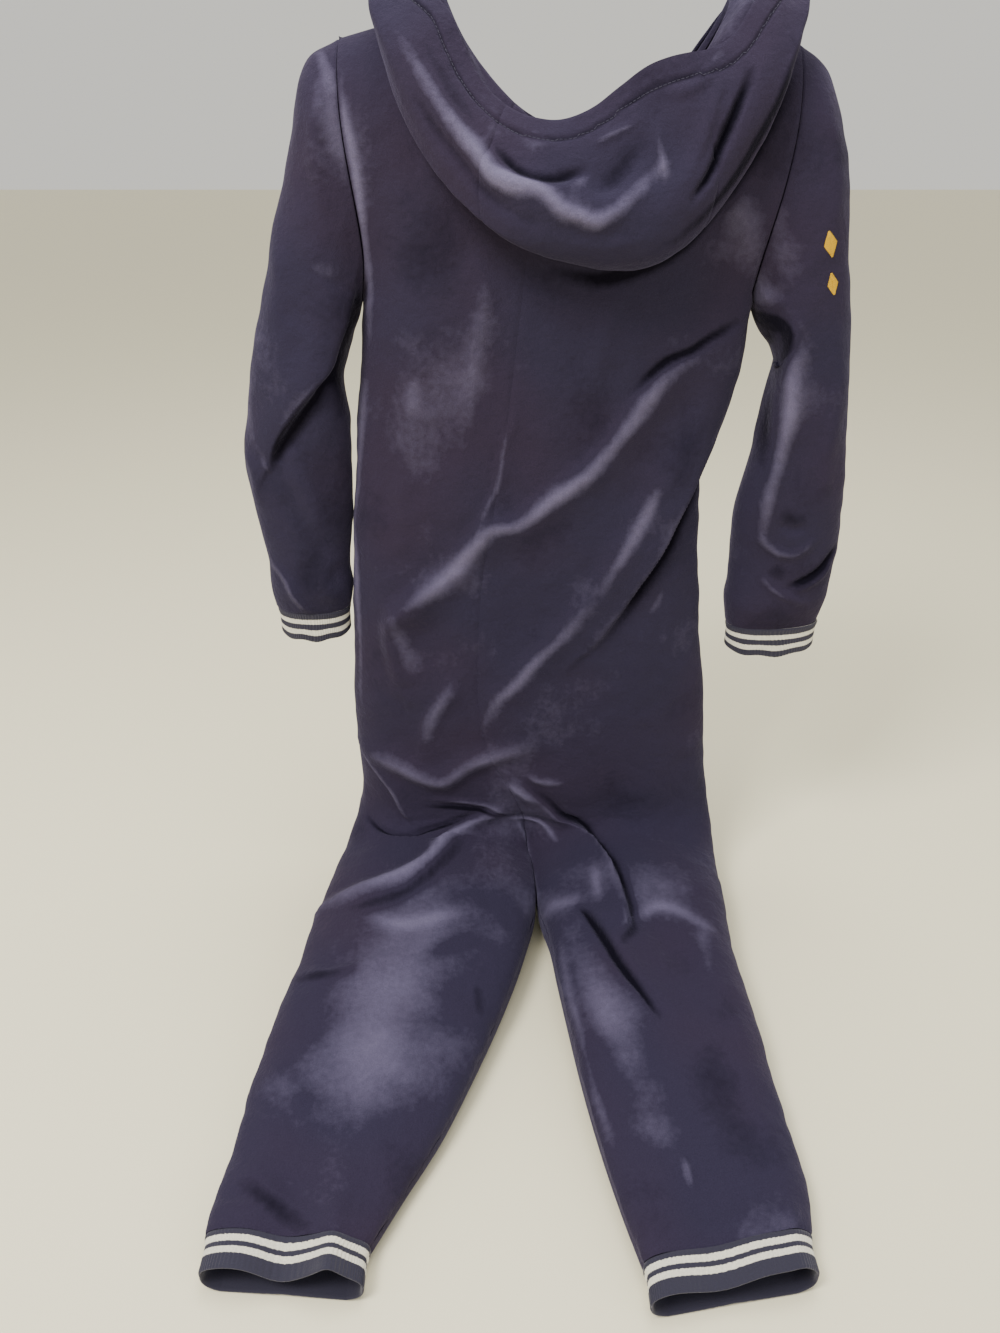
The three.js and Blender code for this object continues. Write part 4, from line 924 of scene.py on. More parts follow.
# painted highlights on the sleeve folds, and painted shade in the armpits and the elbow crease
sleevePaintedLight = {
    "left": [
        (-1.6, 5, 11, [[-166, 208], [-179, 234], [-188, 257], [-205, 279], [-222, 299], [-240, 322],
                       [-249, 342]]),
        (-1.3, 9, 9, [[-170, 206], [-176, 226], [-183, 252], [-187, 300]]),
        (0.4, 8, 4, sleeveFolds["left"][0][3]),
        (0.6, 4, 4, sleeveFolds["left"][2][3]),
        (0.4, 7, 7, [[-257, 328], [-251, 352]]),
        (0.3, 12, 12, sleeveFolds["left"][3][3]),
        (0.35, 20, 18, [[-200, 180], [-188, 187], [-174, 190]]),
        (0.6, 9, 9, [[-186, 40], [-180, 52], [-172, 70]]),
        (0.35, 14, 14, [[-186, 56], [-174, 90], [-168, 120]]),
        (0.4, 12, 10, [[-262, 250], [-266, 300], [-260, 330]]),
        (-0.3, 24, 24, [[-222, 420], [-226, 470]]),
    ],
    "right": [
        (0.75, 9, 12, sleeveFolds["right"][0][3][1:]),
        (-1.0, 9, 8, [[163, 226], [165, 250], [167, 290], [168, 340]]),
        (0.5, 6, 6, sleeveFolds["right"][2][3]),
        (-0.5, 10, 10, [[188, 384], [202, 392], [214, 390]]),
        (0.45, 5, 5, sleeveFolds["right"][4][3]),
        (-1.4, 5, 5, sleeveFolds["right"][5][3]),
        (-0.5, 12, 12, [[186, 440], [204, 446]]),
        (0.7, 16, 16, [[142, 188], [150, 204], [166, 212]]),
        (0.35, 20, 20, [[150, 130], [160, 170], [172, 206]]),
        (-0.35, 16, 16, [[196, 70], [206, 130]]),
        (-1.6, 9, 9, [[146, 222], [160, 226], [174, 232], [178, 250], [174, 276]]),
    ],
}


def sleeveRings(row, turn):
    # row: the table's columns, a value for each ring; turn: round the ring from the outer edge over the back
    n = 2 / sleeveRound
    centre = np.stack([(row["inX"] + row["outX"]) / 2, row["y"], (row["inZ"] + row["outZ"]) / 2], -1)
    reach = np.stack([(row["outX"] - row["inX"]) / 2, 0 * row["y"], (row["outZ"] - row["inZ"]) / 2], -1)
    rings = centre + reach * signedPower(np.cos(turn), n)[..., None]
    rings[..., 1] -= row["depth"] * signedPower(np.sin(turn), n)
    return rings


def armholeRing(side, turn):
    part = (1 - np.cos(turn)) / 2
    rings = {face: chestGrid(side, face, part, np.zeros((1, 1)))[:, 0] for face in (-1, 1)}
    return np.where((np.sin(turn) >= 0)[:, None], rings[-1], rings[1])


def sleeveGrid(side, columns):
    # the first rings change from the armhole to the sleeve's own shape
    turn = np.linspace(0, 2 * math.pi, columns, endpoint=False)
    table = makeTable(["step", "inX", "inZ", "outX", "outZ", "y", "depth"],
                      [[k, *row] for k, row in enumerate(sleeveTables[side])])
    step = np.linspace(0, len(sleeveTables[side]) - 1, sleeveDetail["rows"])
    row = {key: valueAt(table, "step", key, step)[:, None] for key in table if key != "step"}
    rings = sleeveRings(row, turn[None, :])
    armholeLeft = 1 - smoothStep(step / 2)
    return rings + armholeLeft[:, None, None] * (armholeRing(side, turn) - rings[0])[None]


def tubeNormals(outer):
    normal = gridNormals(outer, True, 1)
    outward = (normal[0] * (outer[0] - outer[0].mean(0))).sum(-1).mean()
    return normal * np.sign(outward)


def mouthWave(across, size):
    # the mouth of a sleeve's cuff dips in the middle and beside the edges: across runs from -1 to 1
    wave = np.cos(size["wavePace"] * math.pi * (across - size["waveMiddle"]))
    return -size["wave"] * mix(1, wave, size["waveShare"]) * np.clip(1 - across ** 4, 0, 1)


def cuffGrid(ring, size, direction):
    # a smooth tube that goes on from the ring, and the ribs that stand on it
    out = unit(ring - ring.mean(0))
    around = np.linspace(0, 2 * math.pi, len(ring), endpoint=False)
    part = np.linspace(0, 1, cuffDetail["rows"])[:, None, None]
    grid = ring[None] - out[None] * size["drawnIn"] * smoothStep(part * cuffDetail["drawnRate"])
    grid = grid + np.array(direction)[None, None] * size["length"] * part
    grid[..., 2] -= size["dip"] * part[..., 0] * np.sin(around)[None] ** 2
    rib = cuffDetail["ribDepth"] * np.cos(cuffDetail["ribs"] * around)[None]
    rib = rib * smoothStep(part[..., 0] / cuffDetail["ribsFrom"])
    return grid, out[None] * rib[..., None]


def makeCuff(name, node, smooth, ribs, material):
    # the ribs stand on the outside of a smooth tube, and the stripes show on that side only
    outer = smooth + ribs
    outer[..., 2] = np.maximum(outer[..., 2], restZ)
    inner = smooth - tubeNormals(smooth) * cuffDetail["wall"]
    inner[..., 2] = np.maximum(inner[..., 2], restZ + 1)
    outside, inside = softEdges(outer, inner, ["top", "bottom"])
    fromSeam = np.linspace(0, 1, len(outer))[:, None]
    piece = makeShell(name, outside, inside, True, material, place=(fromSeam, 1.0))
    dress(piece, node)


def makeSleeveCuff(side):
    ring = sleeveGrid(side, cuffDetail["columns"])[-1]
    tube, ribs = cuffGrid(ring, sleeveCuff, (0, 0, -1))
    wave = mouthWave(acrossRing(ring, tube), sleeveCuff)
    tube[..., 2] += wave * smoothStep(np.linspace(sleeveCuff["waveFrom"], 1, len(tube)))[:, None]
    makeCuff("rib_sleeve_" + side, "sleeve_cuff_" + side, tube, ribs, sleeveRib)


def makeLegCuff(side):
    column = np.linspace(0, 1, cuffDetail["columns"] // 2 + 1)[None, :]
    backRing = bodyGrid(side, -1, np.array([legEnd]), column)[0]
    frontRing = bodyGrid(side, 1, np.array([legEnd]), column[:, ::-1])[0]
    tube, ribs = cuffGrid(np.concatenate([backRing, frontRing[1:-1]]), legCuff, (0, -1, 0))
    tube[..., 2] += lipRise(side, tube) * np.linspace(1, legCuff["lipGrows"], len(tube))[:, None]
    makeCuff("rib_leg_" + side, "leg_cuff_" + side, tube, ribs, legRib)


def sleeveShape(side):
    rings = sleeveGrid(side, sleeveDetail["columns"])
    normal = tubeNormals(rings)
    onBack = smoothStep(0.5 - 2 * normal[..., 1])
    down = -rings[..., 2]
    part = np.linspace(0, 1, len(rings))[:, None]
    fade = smoothStep(part / sleeveDetail["top"])
    lift = strokeField(sleeveFolds[side], rings[..., 0], down) * onBack
    lift += sleeveDetail["soft"] * softLumps(rings) + sleeveDetail["small"] * smallLumps(rings)
    fromPuff = (part - sleeveDetail["puffAt"]) / sleeveDetail["puffLong"]
    lift += sleeveDetail["puff"] * np.exp(-fromPuff ** 2)          # the cloth puffs over the cuff
    # painted highlights and painted shade on the back of the sleeve
    nap = strokeField(sleevePaintedLight[side], rings[..., 0], down) * onBack
    return rings + normal * (lift * fade)[..., None], nap


for side in ("left", "right"):
    outer, nap = sleeveShape(side)
    inner = outer - tubeNormals(outer) * wall
    outside, inside = softEdges(outer, inner, ["top", "bottom"])
    piece = makeShell("cloth_sleeve_" + side, outside, inside, True, plush, nap=nap)
    dress(piece, "sleeve_" + side)
    bodySides[side]["sleeve"] = outer
    makeSleeveCuff(side)
    makeLegCuff(side)
print("sleeves and cuffs made")

# The hood round the neck, left shoulder -90, nape 0, right shoulder 90: how far out from the neck's edge
# and how far down lie the layer on the shoulders, the lowest fold, the ridge, the valley and the rim.
hoodTable = makeTable(
    ["angle", "layOut", "layDown", "lowOut", "lowDown", "ridgeOut", "ridgeDown",
     "valleyOut", "valleyDown", "rimOut", "rimDown"], [
        [-176, 4, 1, 10, 9, 16, 2, 15, -5, 11, -12],
        [-135, 10, 6, 24, 19, 34, 6, 30, -6, 18, -18],
        [-110, 12, 2, 30, 6, 40, -7, 31, -15, 16, -20],
        [-90, 14, 0, 36, 2, 46, -13, 33, -20, 15, -22],
        [-75, 15, 5, 46, 17, 54, -1, 35, -12, 14, -19],
        [-60, 15, 13, 53, 33, 56, 9, 35, -4, 13, -12],
        [-30, 9, 40, 50, 66, 56, 38, 34, 15, 16, -6],
        [0, 8, 46, 30, 74, 50, 44, 34, 14, 16, -23],
        [18, 8, 52, 31, 85, 52, 53, 34, 18, 16, -53],
        [28, 9, 53, 33, 87, 52, 55, 34, 20, 17, -41],
        [55, 12, 32, 39, 64, 45, 38, 33, 14, 18, -7],
        [75, 14, 9, 37, 27, 45, 9, 35, -5, 20, -12],
        [95, 14, 2, 32, 9, 42, -6, 32, -15, 18, -20],
        [115, 12, 3, 28, 11, 38, -4, 30, -13, 17, -19],
        [135, 10, 6, 24, 17, 33, 4, 28, -7, 17, -18],
        [172, 4, 1, 10, 9, 16, 2, 15, -5, 11, -12],
    ])
hoodSize = {"seamLeft": -30, "seamRight": 36, "frontGap": 9,
            "rest": 5.5, "seamRest": 3.0, "shoulderRise": 2.0, "rowsBelow": 30,
            "columns": 46, "fineColumns": 380, "fineRows": 160, "soft": 0.6, "small": 0.22,
            "hem": 15, "hemThick": 0.7, "hemOver": 2, "sewnDepth": 1.1, "sewnWide": 1.4, "sewnShade": 0.6}
# where the hood's folds and its painted light show: on the outer layers, as a share of the way to the rim, and
# where it faces back
hoodFade = {"outerFrom": 0.6, "outerOver": 0.08, "facingFrom": 0.2, "facingOver": 0.4, "top": 0.2}
seamTurn = [(0, 0), (0.2, -4.4), (2.8, -6.6), (6, -5)]       # the turned-up seam, out from the neck and down
# creases, and painted highlights and painted shade, on the part of the hood that faces out, in rows like those
# of the back
hoodFolds = [
    (5, 11, 9, [[-128, 28], [-111, 54], [-98, 74], [-85, 90], [-69, 107], [-61, 118], [-47, 124], [-29, 128],
                  [-13, 140], [2, 145], [13, 148], [27, 141], [40, 130], [56, 116]]),
    (2.5, 6, 6, [[60, 124], [57, 110], [52, 92]]),
    (-3, 9, 9, [[-116, 66], [-100, 90], [-85, 108], [-59, 136], [-30, 150]]),
    (-3, 5, 5, [[-60, 100], [-41, 117], [-20, 122], [4, 116]]),
    (2, 4, 5, [[10, 100], [21, 95], [41, 86]]),
    (-4, 8, 12, [[6, 130], [20, 126], [34, 114], [44, 100]]),
    (-7, 5, 6, [[116, 58], [106, 82], [98, 100], [92, 117], [80, 134]]),
    (3, 12, 6, [[96, 60], [90, 84], [84, 102], [74, 122]]),
    (2.5, 7, 7, [[60, 70], [76, 66], [90, 56]]),
    (2, 9, 9, [[-20, 160], [20, 166], [52, 158]]),
    (-2.5, 5, 5, [[-16, 121], [-6, 120], [6, 118]]),
]
# painted highlight along the hood's ridge, and painted shade in its creases and along its lower edges
hoodPaintedLight = [
    (1.0, 9, 10, hoodFolds[0][3]),
    (0.6, 12, 10, [[-64, 112], [-50, 122], [-34, 127]]),
    (0.5, 5, 5, hoodFolds[1][3]),
    (-0.5, 8, 8, hoodFolds[2][3]),
    (-1.2, 5, 5, hoodFolds[3][3]),
    (0.5, 3, 3, hoodFolds[4][3]),
    (-0.5, 12, 12, [[8, 128], [26, 120], [42, 102]]),
    (-1.5, 6, 6, hoodFolds[6][3]),
    (0.45, 4, 4, [[-122, 88], [-110, 104], [-90, 130], [-74, 145], [-54, 158]]),
    (0.3, 10, 10, [[-4, 118], [4, 126]]),
    (0.35, 5, 5, [[86, 52], [98, 44]]),
    (-0.4, 10, 10, [[-108, 40], [-90, 66], [-70, 90]]),
    (0.3, 14, 14, [[-40, 100], [-20, 96]]),
    (-1.3, 6, 6, [[150, 44], [134, 82], [110, 124], [82, 154], [50, 173]]),
]

seamKnots = len(seamTurn)
lowKnot = seamKnots + 3          # the lowest fold


def hoodSections(angles):
    # sections round the neck: a knot is how far out from the neck's edge and how far down the cloth lies
    a = np.radians(angles)
    out = np.stack([np.sin(a), -np.cos(a), 0 * a], -1)

    def layer(name):
        return np.stack([valueAt(hoodTable, "angle", name + way, angles) for way in ("Out", "Down")], -1)

    def between(start, end, outShare, downShare):
        return mix(start, end, np.array([outShare, downShare]))

    lay, low, ridge, valley, rim = (layer(name) for name in ("lay", "low", "ridge", "valley", "rim"))
    size = np.clip(low[:, :1] / 30, 0.3, 1)
    knots = [size * np.array(knot) for knot in seamTurn] + [
        between(size * np.array((6.4, 0)), lay, 0.4, 0.35),
        lay,
        between(lay, low, 0.45, 0.8),
        low,
        between(low, ridge, 0.7, 0.32),
        ridge,
        between(ridge, valley, 0.3, 0.5),
        valley,
        between(valley, rim, 0.4, 0.5),
        rim,
    ]
    rows = []
    for k, knot in enumerate(knots):
        p = neckPoint(angles) + out * knot[:, :1]
        p[:, 2] += 0.3 - knot[:, 1]
        if 0 < k < lowKnot - 1:
            p[:, 2] += hoodSize["shoulderRise"] * np.sin(a) ** 2
        rows.append(p)
    return np.array(rows)


def chestTree():
    # the chest and the rows that the hood reaches below it, to find how far the hood is clear of them
    points, faces = [], []
    for side in ("left", "right"):
        grid = bodySides[side]["outer"][:bodyDetail["chestRows"] + hoodSize["rowsBelow"]]
        rows, columns = grid.shape[:2]
        faces += gridFaces(np.arange(rows * columns).reshape(rows, columns) + len(points)).tolist()
        points += grid.reshape(-1, 3).tolist()
    return BVHTree.FromPolygons(points, faces)


chest = chestTree()
rayFrom = 300            # mm in front of or behind the garment
nearEnough = 0.01


def clearOfChest(points, gap):
    # moves points out until they lie a gap clear of the chest and the shoulders
    flat = points.reshape(-1, 3)
    gaps = np.broadcast_to(gap, points.shape[:-1]).reshape(-1)
    for p, gap in zip(flat, gaps):
        away = -1 if p[1] < 0 else 1
        for attempt in range(6):
            start = Vector((p[0], away * rayFrom, p[2]))
            hit, normal = chest.ray_cast(start, Vector((0, -away, 0)), rayFrom - 1)[:2]
            if hit is None:
                break
            if normal.y * away < 0:
                normal = -normal
            short = gap - (p[1] - hit.y) * normal.y
            if short <= nearEnough:
                break
            p += np.array(normal) * short
    return flat.reshape(points.shape)


def alongAxis(grid, axis, count):
    # new points along one axis of a grid, on smooth curves through the old ones
    size = grid.shape[axis]
    at = np.linspace(0, size - 1, count)
    i = np.clip(np.ceil(at).astype(int) - 1, 0, size - 2)
    t = (at - i)[:, None, None]
    g = np.moveaxis(grid, axis, 0)
    low, high = np.maximum(np.arange(size) - 1, 0), np.minimum(np.arange(size) + 1, size - 1)
    slope = (g[high] - g[low]) / (high - low)[:, None, None]
    return np.moveaxis(smoothBetween(g[i], g[i + 1], slope[i], slope[i + 1], t), 0, axis)


def makeHood():
    # it starts and ends beside the zip, past five sixths of the way from the shoulders to the throat
    startAngle = mix(-90, neck["throatAngle"] - 360, 5 / 6) - hoodSize["frontGap"]
    endAngle = mix(90, neck["throatAngle"], 5 / 6) + hoodSize["frontGap"]
    angles = np.linspace(startAngle, endAngle, hoodSize["columns"])
    grid = hoodSections(angles)
    above = np.arange(lowKnot + 1, len(grid))
    under = lowKnot - (above - lowKnot) / 2      # the layers above move with the layer under them
    for attempt in range(4):
        before = grid.copy()
        grid[2:seamKnots] = clearOfChest(grid[2:seamKnots], hoodSize["seamRest"])
        grid[seamKnots:lowKnot + 1] = clearOfChest(grid[seamKnots:lowKnot + 1], hoodSize["rest"])
        moved = grid - before
        low, high = np.floor(under).astype(int), np.ceil(under).astype(int)
        grid[above] += mix(moved[low], moved[high], (under % 1)[:, None, None])
        grid[above] = clearOfChest(grid[above], hoodSize["rest"])
        if attempt < 3:
            away = grid - grid[:1]
            laid = away[seamKnots:]
            laid[:, 1:-1] = (laid[:, :-2] + 2 * laid[:, 1:-1] + laid[:, 2:]) / 4
            grid = grid[:1] + away
    fine = alongAxis(alongAxis(grid, 0, hoodSize["fineRows"]), 1, hoodSize["fineColumns"])
    return fine, np.linspace(angles[0], angles[-1], hoodSize["fineColumns"])


def foldedHood():
    grid, angle = makeHood()
    normal = gridNormals(grid, False, 1)
    row = np.linspace(0, 1, len(grid))[:, None]
    facing = smoothStep((row - hoodFade["outerFrom"]) / hoodFade["outerOver"])
    facing = facing * smoothStep((hoodFade["facingFrom"] - normal[..., 1]) / hoodFade["facingOver"])
    lift = strokeField(hoodFolds, grid[..., 0], -grid[..., 2]) * facing
    lumps = hoodSize["soft"] * softLumps(grid) + hoodSize["small"] * smallLumps(grid)
    lift += lumps * smoothStep(row / hoodFade["top"])
    # painted highlights and painted shade on the hood's outward face
    nap = strokeField(hoodPaintedLight, grid[..., 0], -grid[..., 2]) * facing
    # the hem is turned in and sewn round the face opening
    step = np.linalg.norm(np.diff(grid, axis=0), axis=-1)
    fromRim = np.concatenate([np.cumsum(step[::-1], axis=0)[::-1], np.zeros((1, grid.shape[1]))])
    sewn = np.exp(-((fromRim - hoodSize["hem"]) / hoodSize["sewnWide"]) ** 2)
    lift += hoodSize["hemThick"] * smoothStep((hoodSize["hem"] - fromRim) / hoodSize["hemOver"])
    lift -= hoodSize["sewnDepth"] * sewn
    # painted shade along the sewn line of the hem
    return grid + normal * lift[..., None], nap - hoodSize["sewnShade"] * sewn, angle, fromRim


hood, nap, hoodAngle, fromRim = foldedHood()
inner = hood - gridNormals(hood, False, 1) * wall
seamLeft, seamRight = (int(np.argmin(np.abs(hoodAngle - hoodSize[key]))) for key in ("seamLeft", "seamRight"))
hoodPieces = [("hood_left", 0, seamLeft), ("hood_centre", seamLeft, seamRight),
              ("hood_right", seamRight, len(hoodAngle) - 1)]
for node, first, last in hoodPieces:
    here = np.s_[:, first:last + 1]
    outside, inside = softEdges(hood[here], inner[here], allEdges)
    piece = makeShell("cloth_" + node, outside, inside, False, plush, nap=nap[here])
    dress(piece, node)
print("hood made")


def smallBars(name, frames, size, material, sections=((-1, 0.55), (-0.6, 1), (0.6, 1), (1, 0.55))):
    # many small rounded bars in one piece: a frame is a bar's middle and its three directions, and each
    # section is a place along the bar and its thickness there, as shares
    sides = 8
    ring = [(math.cos(a), math.sin(a)) for a in np.linspace(0, 2 * math.pi, sides, endpoint=False)]
    shape = np.array([[x, w * c, w * d] for x, w in sections for c, d in ring]) * np.array(size) / 2
    index = np.arange(len(shape)).reshape(-1, sides)
    barFaces = [(row[k], row[(k + 1) % sides], after[(k + 1) % sides], after[k])
                for row, after in zip(index.tolist(), index[1:].tolist()) for k in range(sides)]
    barFaces += [tuple(index[0, ::-1].tolist()), tuple(index[-1].tolist())]
    points, faces = [], []
    for number, (middle, axes) in enumerate(frames):
        start = number * len(shape)
        points += ((middle + shape @ np.array(axes)) * mm).tolist()
        faces += [tuple(start + corner for corner in face) for face in barFaces]
    mesh = bpy.data.meshes.new(name)
    mesh.from_pydata(points, [], faces)
    mesh.polygons.foreach_set("use_smooth", [True] * len(mesh.polygons))
    mesh.materials.append(material)
    return placePiece(name, mesh)


def lengthAlong(path):
    return np.concatenate([[0], np.cumsum(np.linalg.norm(np.diff(path, axis=0), axis=-1))])


def placesAt(values, lengths, at):
    return np.stack([np.interp(at, lengths, values[:, k]) for k in range(3)], -1)


def stitchFrames(path, normal, pitch):
    # frames for stitches laid end to end along a path
    lengths = lengthAlong(path)
    at = np.arange(pitch, lengths[-1] - pitch, pitch)
    middle = placesAt(path, lengths, at)
    up = unit(placesAt(normal, lengths, at))
    along = unit(placesAt(path, lengths, at + 0.5) - middle)
    across = unit(np.cross(up, along))
    return [(m, (a, c, u)) for m, a, c, u in zip(middle, along, across, np.cross(along, across))]


stitchSize = {"pitch": 3.2, "length": 2.5, "thread": 0.55, "rise": 0.05, "fromZip": 2}    # fromZip: columns


def sewRow(name, path, normal):
    frames = stitchFrames(path + unit(normal) * stitchSize["rise"], normal, stitchSize["pitch"])
    size = (stitchSize["length"], stitchSize["thread"], stitchSize["thread"])
    piece = smallBars(name, frames, size, navyThread)
    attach(piece, "garment")


hoodNormal = gridNormals(hood, False, 1)
rowAt = np.argmin(np.abs(fromRim - hoodSize["hem"]), axis=0)
columns = np.arange(hood.shape[1])
sewRow("stitches_hood_hem", hood[rowAt, columns], hoodNormal[rowAt, columns])

# The zip: a woven tape under the edges of the fronts, a closed row of teeth, a slider and its pull.
middleLine = bodySides["left"]["base"][:, -1] * 0.5 + bodySides["right"]["base"][:, -1] * 0.5
zipRows = (rowAlong < zipSize["tapeEnd"]) & (np.arange(len(rowAlong)) > 1)
zipPath = middleLine[zipRows]
sideways = np.array([1.0, 0, 0])
zipNormal = unit(np.cross(np.gradient(zipPath, axis=0), -sideways))
zipNormal *= np.sign(zipNormal[:, 1:2])
tapeX = np.linspace(-zipSize["tapeHalf"], zipSize["tapeHalf"], 13)
tapeDepth = wall + zipSize["below"]
tapeOuter = zipPath[:, None] + tapeX[None, :, None] * sideways - zipNormal[:, None] * tapeDepth
tapeInner = tapeOuter - zipNormal[:, None] * zipSize["tape"]
tape = makeShell("tape_zip", tapeOuter[:, ::-1], tapeInner[:, ::-1], False, tapeWeave)
dress(tape, "zip_tape")

# the teeth come from the left and the right by turns
lengths = lengthAlong(zipPath)
teethFrames = []
for number, at in enumerate(np.arange(2, lengths[-1] - 2, zipSize["pitch"])):
    up = unit(placesAt(zipNormal, lengths, at))
    aside = sideways * (zipSize["toothSide"] if number % 2 else -zipSize["toothSide"])
    middle = placesAt(zipPath, lengths, at) - up * zipSize["toothUnder"] + aside
    teethFrames.append((middle, (sideways, unit(np.cross(up, sideways)), up)))
teeth = smallBars("teeth_zip", teethFrames, zipSize["tooth"], toothPlastic)
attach(teeth, "garment")
for side, cloth in bodySides.items():
    beside = np.s_[zipRows, -1 - stitchSize["fromZip"]]
    normal = gridNormals(cloth["outer"], False, cloth["flip"])
    sewRow("stitches_zip_" + side, cloth["outer"][beside], normal[beside])

metalFinish = {"edge": 0.22, "sharpAngle": 42}


def edgeAlong(edge):
    return abs((edge.verts[0].co - edge.verts[1].co).normalized().y)


def roundedPlate(mesh, size, middle, corner):
    # a plate with rounded corners and edges, its broad face to +y, in millimetres
    block = bmesh.ops.create_cube(mesh, size=1)["verts"]
    bmesh.ops.scale(mesh, vec=Vector(size) * mm, verts=block)
    bmesh.ops.translate(mesh, vec=Vector(middle) * mm, verts=block)
    edges = dict.fromkeys(e for v in block for e in v.link_edges)
    through = [e for e in edges if edgeAlong(e) > 0.9]
    made = bmesh.ops.bevel(mesh, geom=through, offset=corner * mm, segments=4, profile=0.5, affect="EDGES")
    around = dict.fromkeys(e for f in made["faces"] for v in f.verts for e in v.link_edges if e.is_valid)
    around = [e for e in around if edgeAlong(e) < 0.1 and any(abs(f.normal.y) > 0.9 for f in e.link_faces)]
    edge = metalFinish["edge"] * mm
    bmesh.ops.bevel(mesh, geom=around, offset=edge, segments=2, profile=0.5, affect="EDGES")


def finishMetal(name, mesh, node, body):
    bmesh.ops.recalc_face_normals(mesh, faces=mesh.faces)
    data = bpy.data.meshes.new(name)
    mesh.to_mesh(data)
    mesh.free()
    data.polygons.foreach_set("use_smooth", [True] * len(data.polygons))
    data.set_sharp_from_angle(angle=math.radians(metalFinish["sharpAngle"]))
    data.materials.append(zipMetal)
    piece = placePiece(name, data)
    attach(piece, body)
    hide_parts(node)


sliderSize = {"plate": 1.6, "plateCorner": 2.6,
              "rail": 1.0, "railDeep": 2.16, "railTall": 0.7, "railIn": 0.8, "railUp": 0.1, "railCorner": 0.3,
              "bridge": 1.6, "bar": 1.2, "barCorner": 0.5, "post": 1.4, "postBack": 0.6, "postCorner": 0.4}


def makeSlider(size):
    # a plate with a rail on both sides and a bridge over it, on two posts
    low, high = (np.array(corner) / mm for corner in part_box("zip_slider"))
    x, y, z = (low + high) / 2
    wide, deep, tall = high - low
    plateY = low[1] + size["plate"] / 2
    postDeep = deep - size["postBack"]
    rail = (size["rail"], size["railDeep"], tall * size["railTall"])
    post = (size["bridge"], postDeep, size["post"])
    mesh = bmesh.new()
    roundedPlate(mesh, (wide, size["plate"], tall), (x, plateY, z), size["plateCorner"])
    barY = high[1] - size["bar"] / 2
    roundedPlate(mesh, (size["bridge"], size["bar"], tall), (x, barY, z), size["barCorner"])
    for end in (-1, 1):
        railX = x + end * (wide / 2 - size["railIn"])
        postZ = z + end * (tall - size["post"]) / 2
        roundedPlate(mesh, rail, (railX, plateY + size["railUp"], z), size["railCorner"])
        roundedPlate(mesh, post, (x, high[1] - postDeep / 2, postZ), size["postCorner"])
    finishMetal("metal_slider", mesh, "zip_slider", "garment")


pullSize = {"rod": 1.4, "rodCorner": 0.45, "arm": 1.5, "armUp": 0.2, "reach": 3.2,
            "plateFrom": 7.6, "lap": 1.6, "plateCorner": 2.2,
            "grips": 3, "gripFrom": 0.3, "gripStep": 0.2, "gripWide": 0.6, "gripTall": 0.9, "gripRise": 0.18,
            "gripCorner": 0.3}


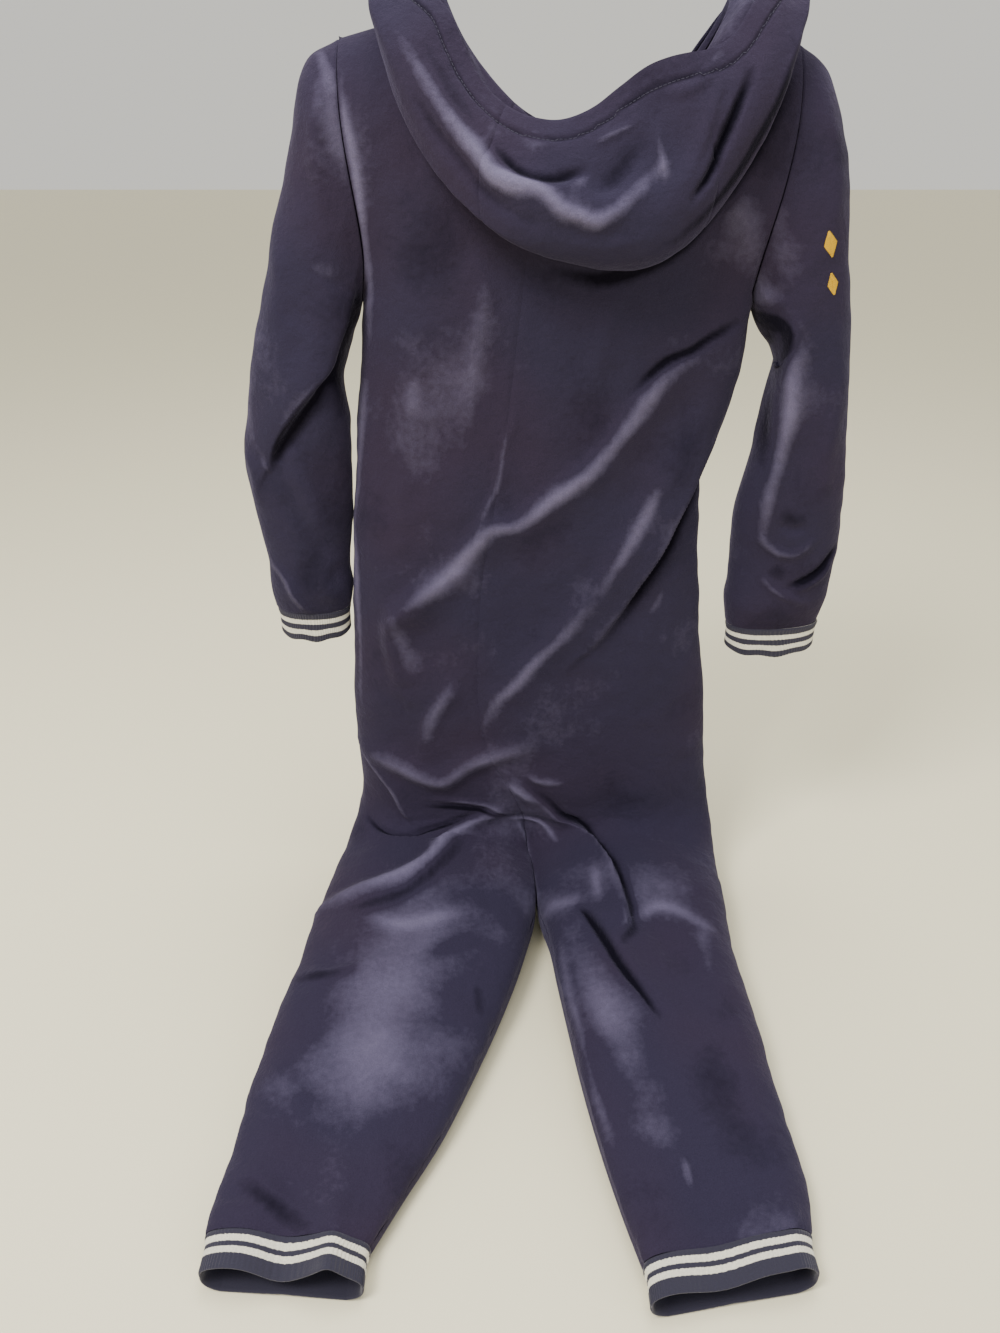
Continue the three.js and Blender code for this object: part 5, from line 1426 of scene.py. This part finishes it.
def makePull(size):
    # a rod through the slider's bridge, two arms and a plate with raised grips
    low, high = (np.array(corner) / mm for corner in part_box("zip_pull"))
    x, y, z = (low + high) / 2
    thick, wide = size["rod"], high[0] - low[0]
    rodZ = high[2] - thick / 2
    armLong = size["plateFrom"] + size["lap"]
    armZ = rodZ - armLong / 2 + size["armUp"]
    plateTall = rodZ - size["plateFrom"] - low[2]
    grip = (wide * size["gripWide"], thick, size["gripTall"])
    mesh = bmesh.new()
    roundedPlate(mesh, (2 * size["reach"], thick, thick), (x, y, rodZ), size["rodCorner"])
    for end in (-1, 1):
        armX = x + end * (size["reach"] - size["arm"] / 2)
        roundedPlate(mesh, (size["arm"], thick, armLong), (armX, y, armZ), size["rodCorner"])
    roundedPlate(mesh, (wide, thick, plateTall), (x, y, low[2] + plateTall / 2), size["plateCorner"])
    for number in range(size["grips"]):
        gripZ = low[2] + plateTall * (size["gripFrom"] + size["gripStep"] * number)
        roundedPlate(mesh, grip, (x, y + size["gripRise"], gripZ), size["gripCorner"])
    finishMetal("metal_pull", mesh, "zip_pull", "pull")


makeSlider(sliderSize)
makePull(pullSize)
print("zip made")

# Two plain lozenges in satin stitch on the back of the right sleeve.
lozengeLook = {
    # x, z, half the width and half the height of each
    "places": [(196, -168, 5.5, 10.5), (203, -197, 4.5, 9.5)], "lean": -18,
    # how the sleeve's points near a stitch are found and weighed
    "facing": -0.25, "reach": 6, "soften": 0.3,
    "thread": 0.62, "pitch": 0.8, "thick": 1.3, "rise": 0.2,
    "overlap": 0.4, "shortest": 0.5, "splitOver": 2.5,
    "ends": ((-1, 0.4), (-0.8, 1), (0.8, 1), (1, 0.4)),
}


def makeLozenges(look):
    # rows of thread across each lozenge, in two stitches where it is wide
    outer = bodySides["right"]["sleeve"]
    normal = tubeNormals(outer)
    facing = normal[..., 1] < look["facing"]
    points, normals = outer[facing], normal[facing]
    c, s = math.cos(math.radians(look["lean"])), math.sin(math.radians(look["lean"]))
    frames = []
    for x, z, halfWide, halfTall in look["places"]:
        for v in np.arange(-halfTall, halfTall, look["thread"] * look["pitch"]):
            reach = halfWide * (1 - abs(v) / halfTall)
            if reach < look["shortest"]:
                continue
            split = reach > look["splitOver"]
            for u in (-reach / 2, reach / 2) if split else (0,):
                near = np.hypot(points[:, 0] - x - u * c - v * s, points[:, 2] - z - v * c + u * s)
                weight = 1 / (near + look["soften"]) ** 2 * (near < look["reach"])
                weight /= weight.sum()
                at, up = (points * weight[:, None]).sum(0), unit((normals * weight[:, None]).sum(0))
                along = np.array([c, 0, -s])
                along = unit(along - up * (along @ up))
                length = reach * (1 if split else 2) + look["overlap"]
                thread = np.cross(up, along) * look["thread"]
                axes = (along * length, thread, up * look["thread"] * look["thick"])
                frames.append((at + up * look["rise"], axes))
    piece = smallBars("thread_lozenges", frames, (1, 1, 1), yellowThread, look["ends"])
    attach(piece, "garment")


makeLozenges(lozengeLook)
print("lozenges made")
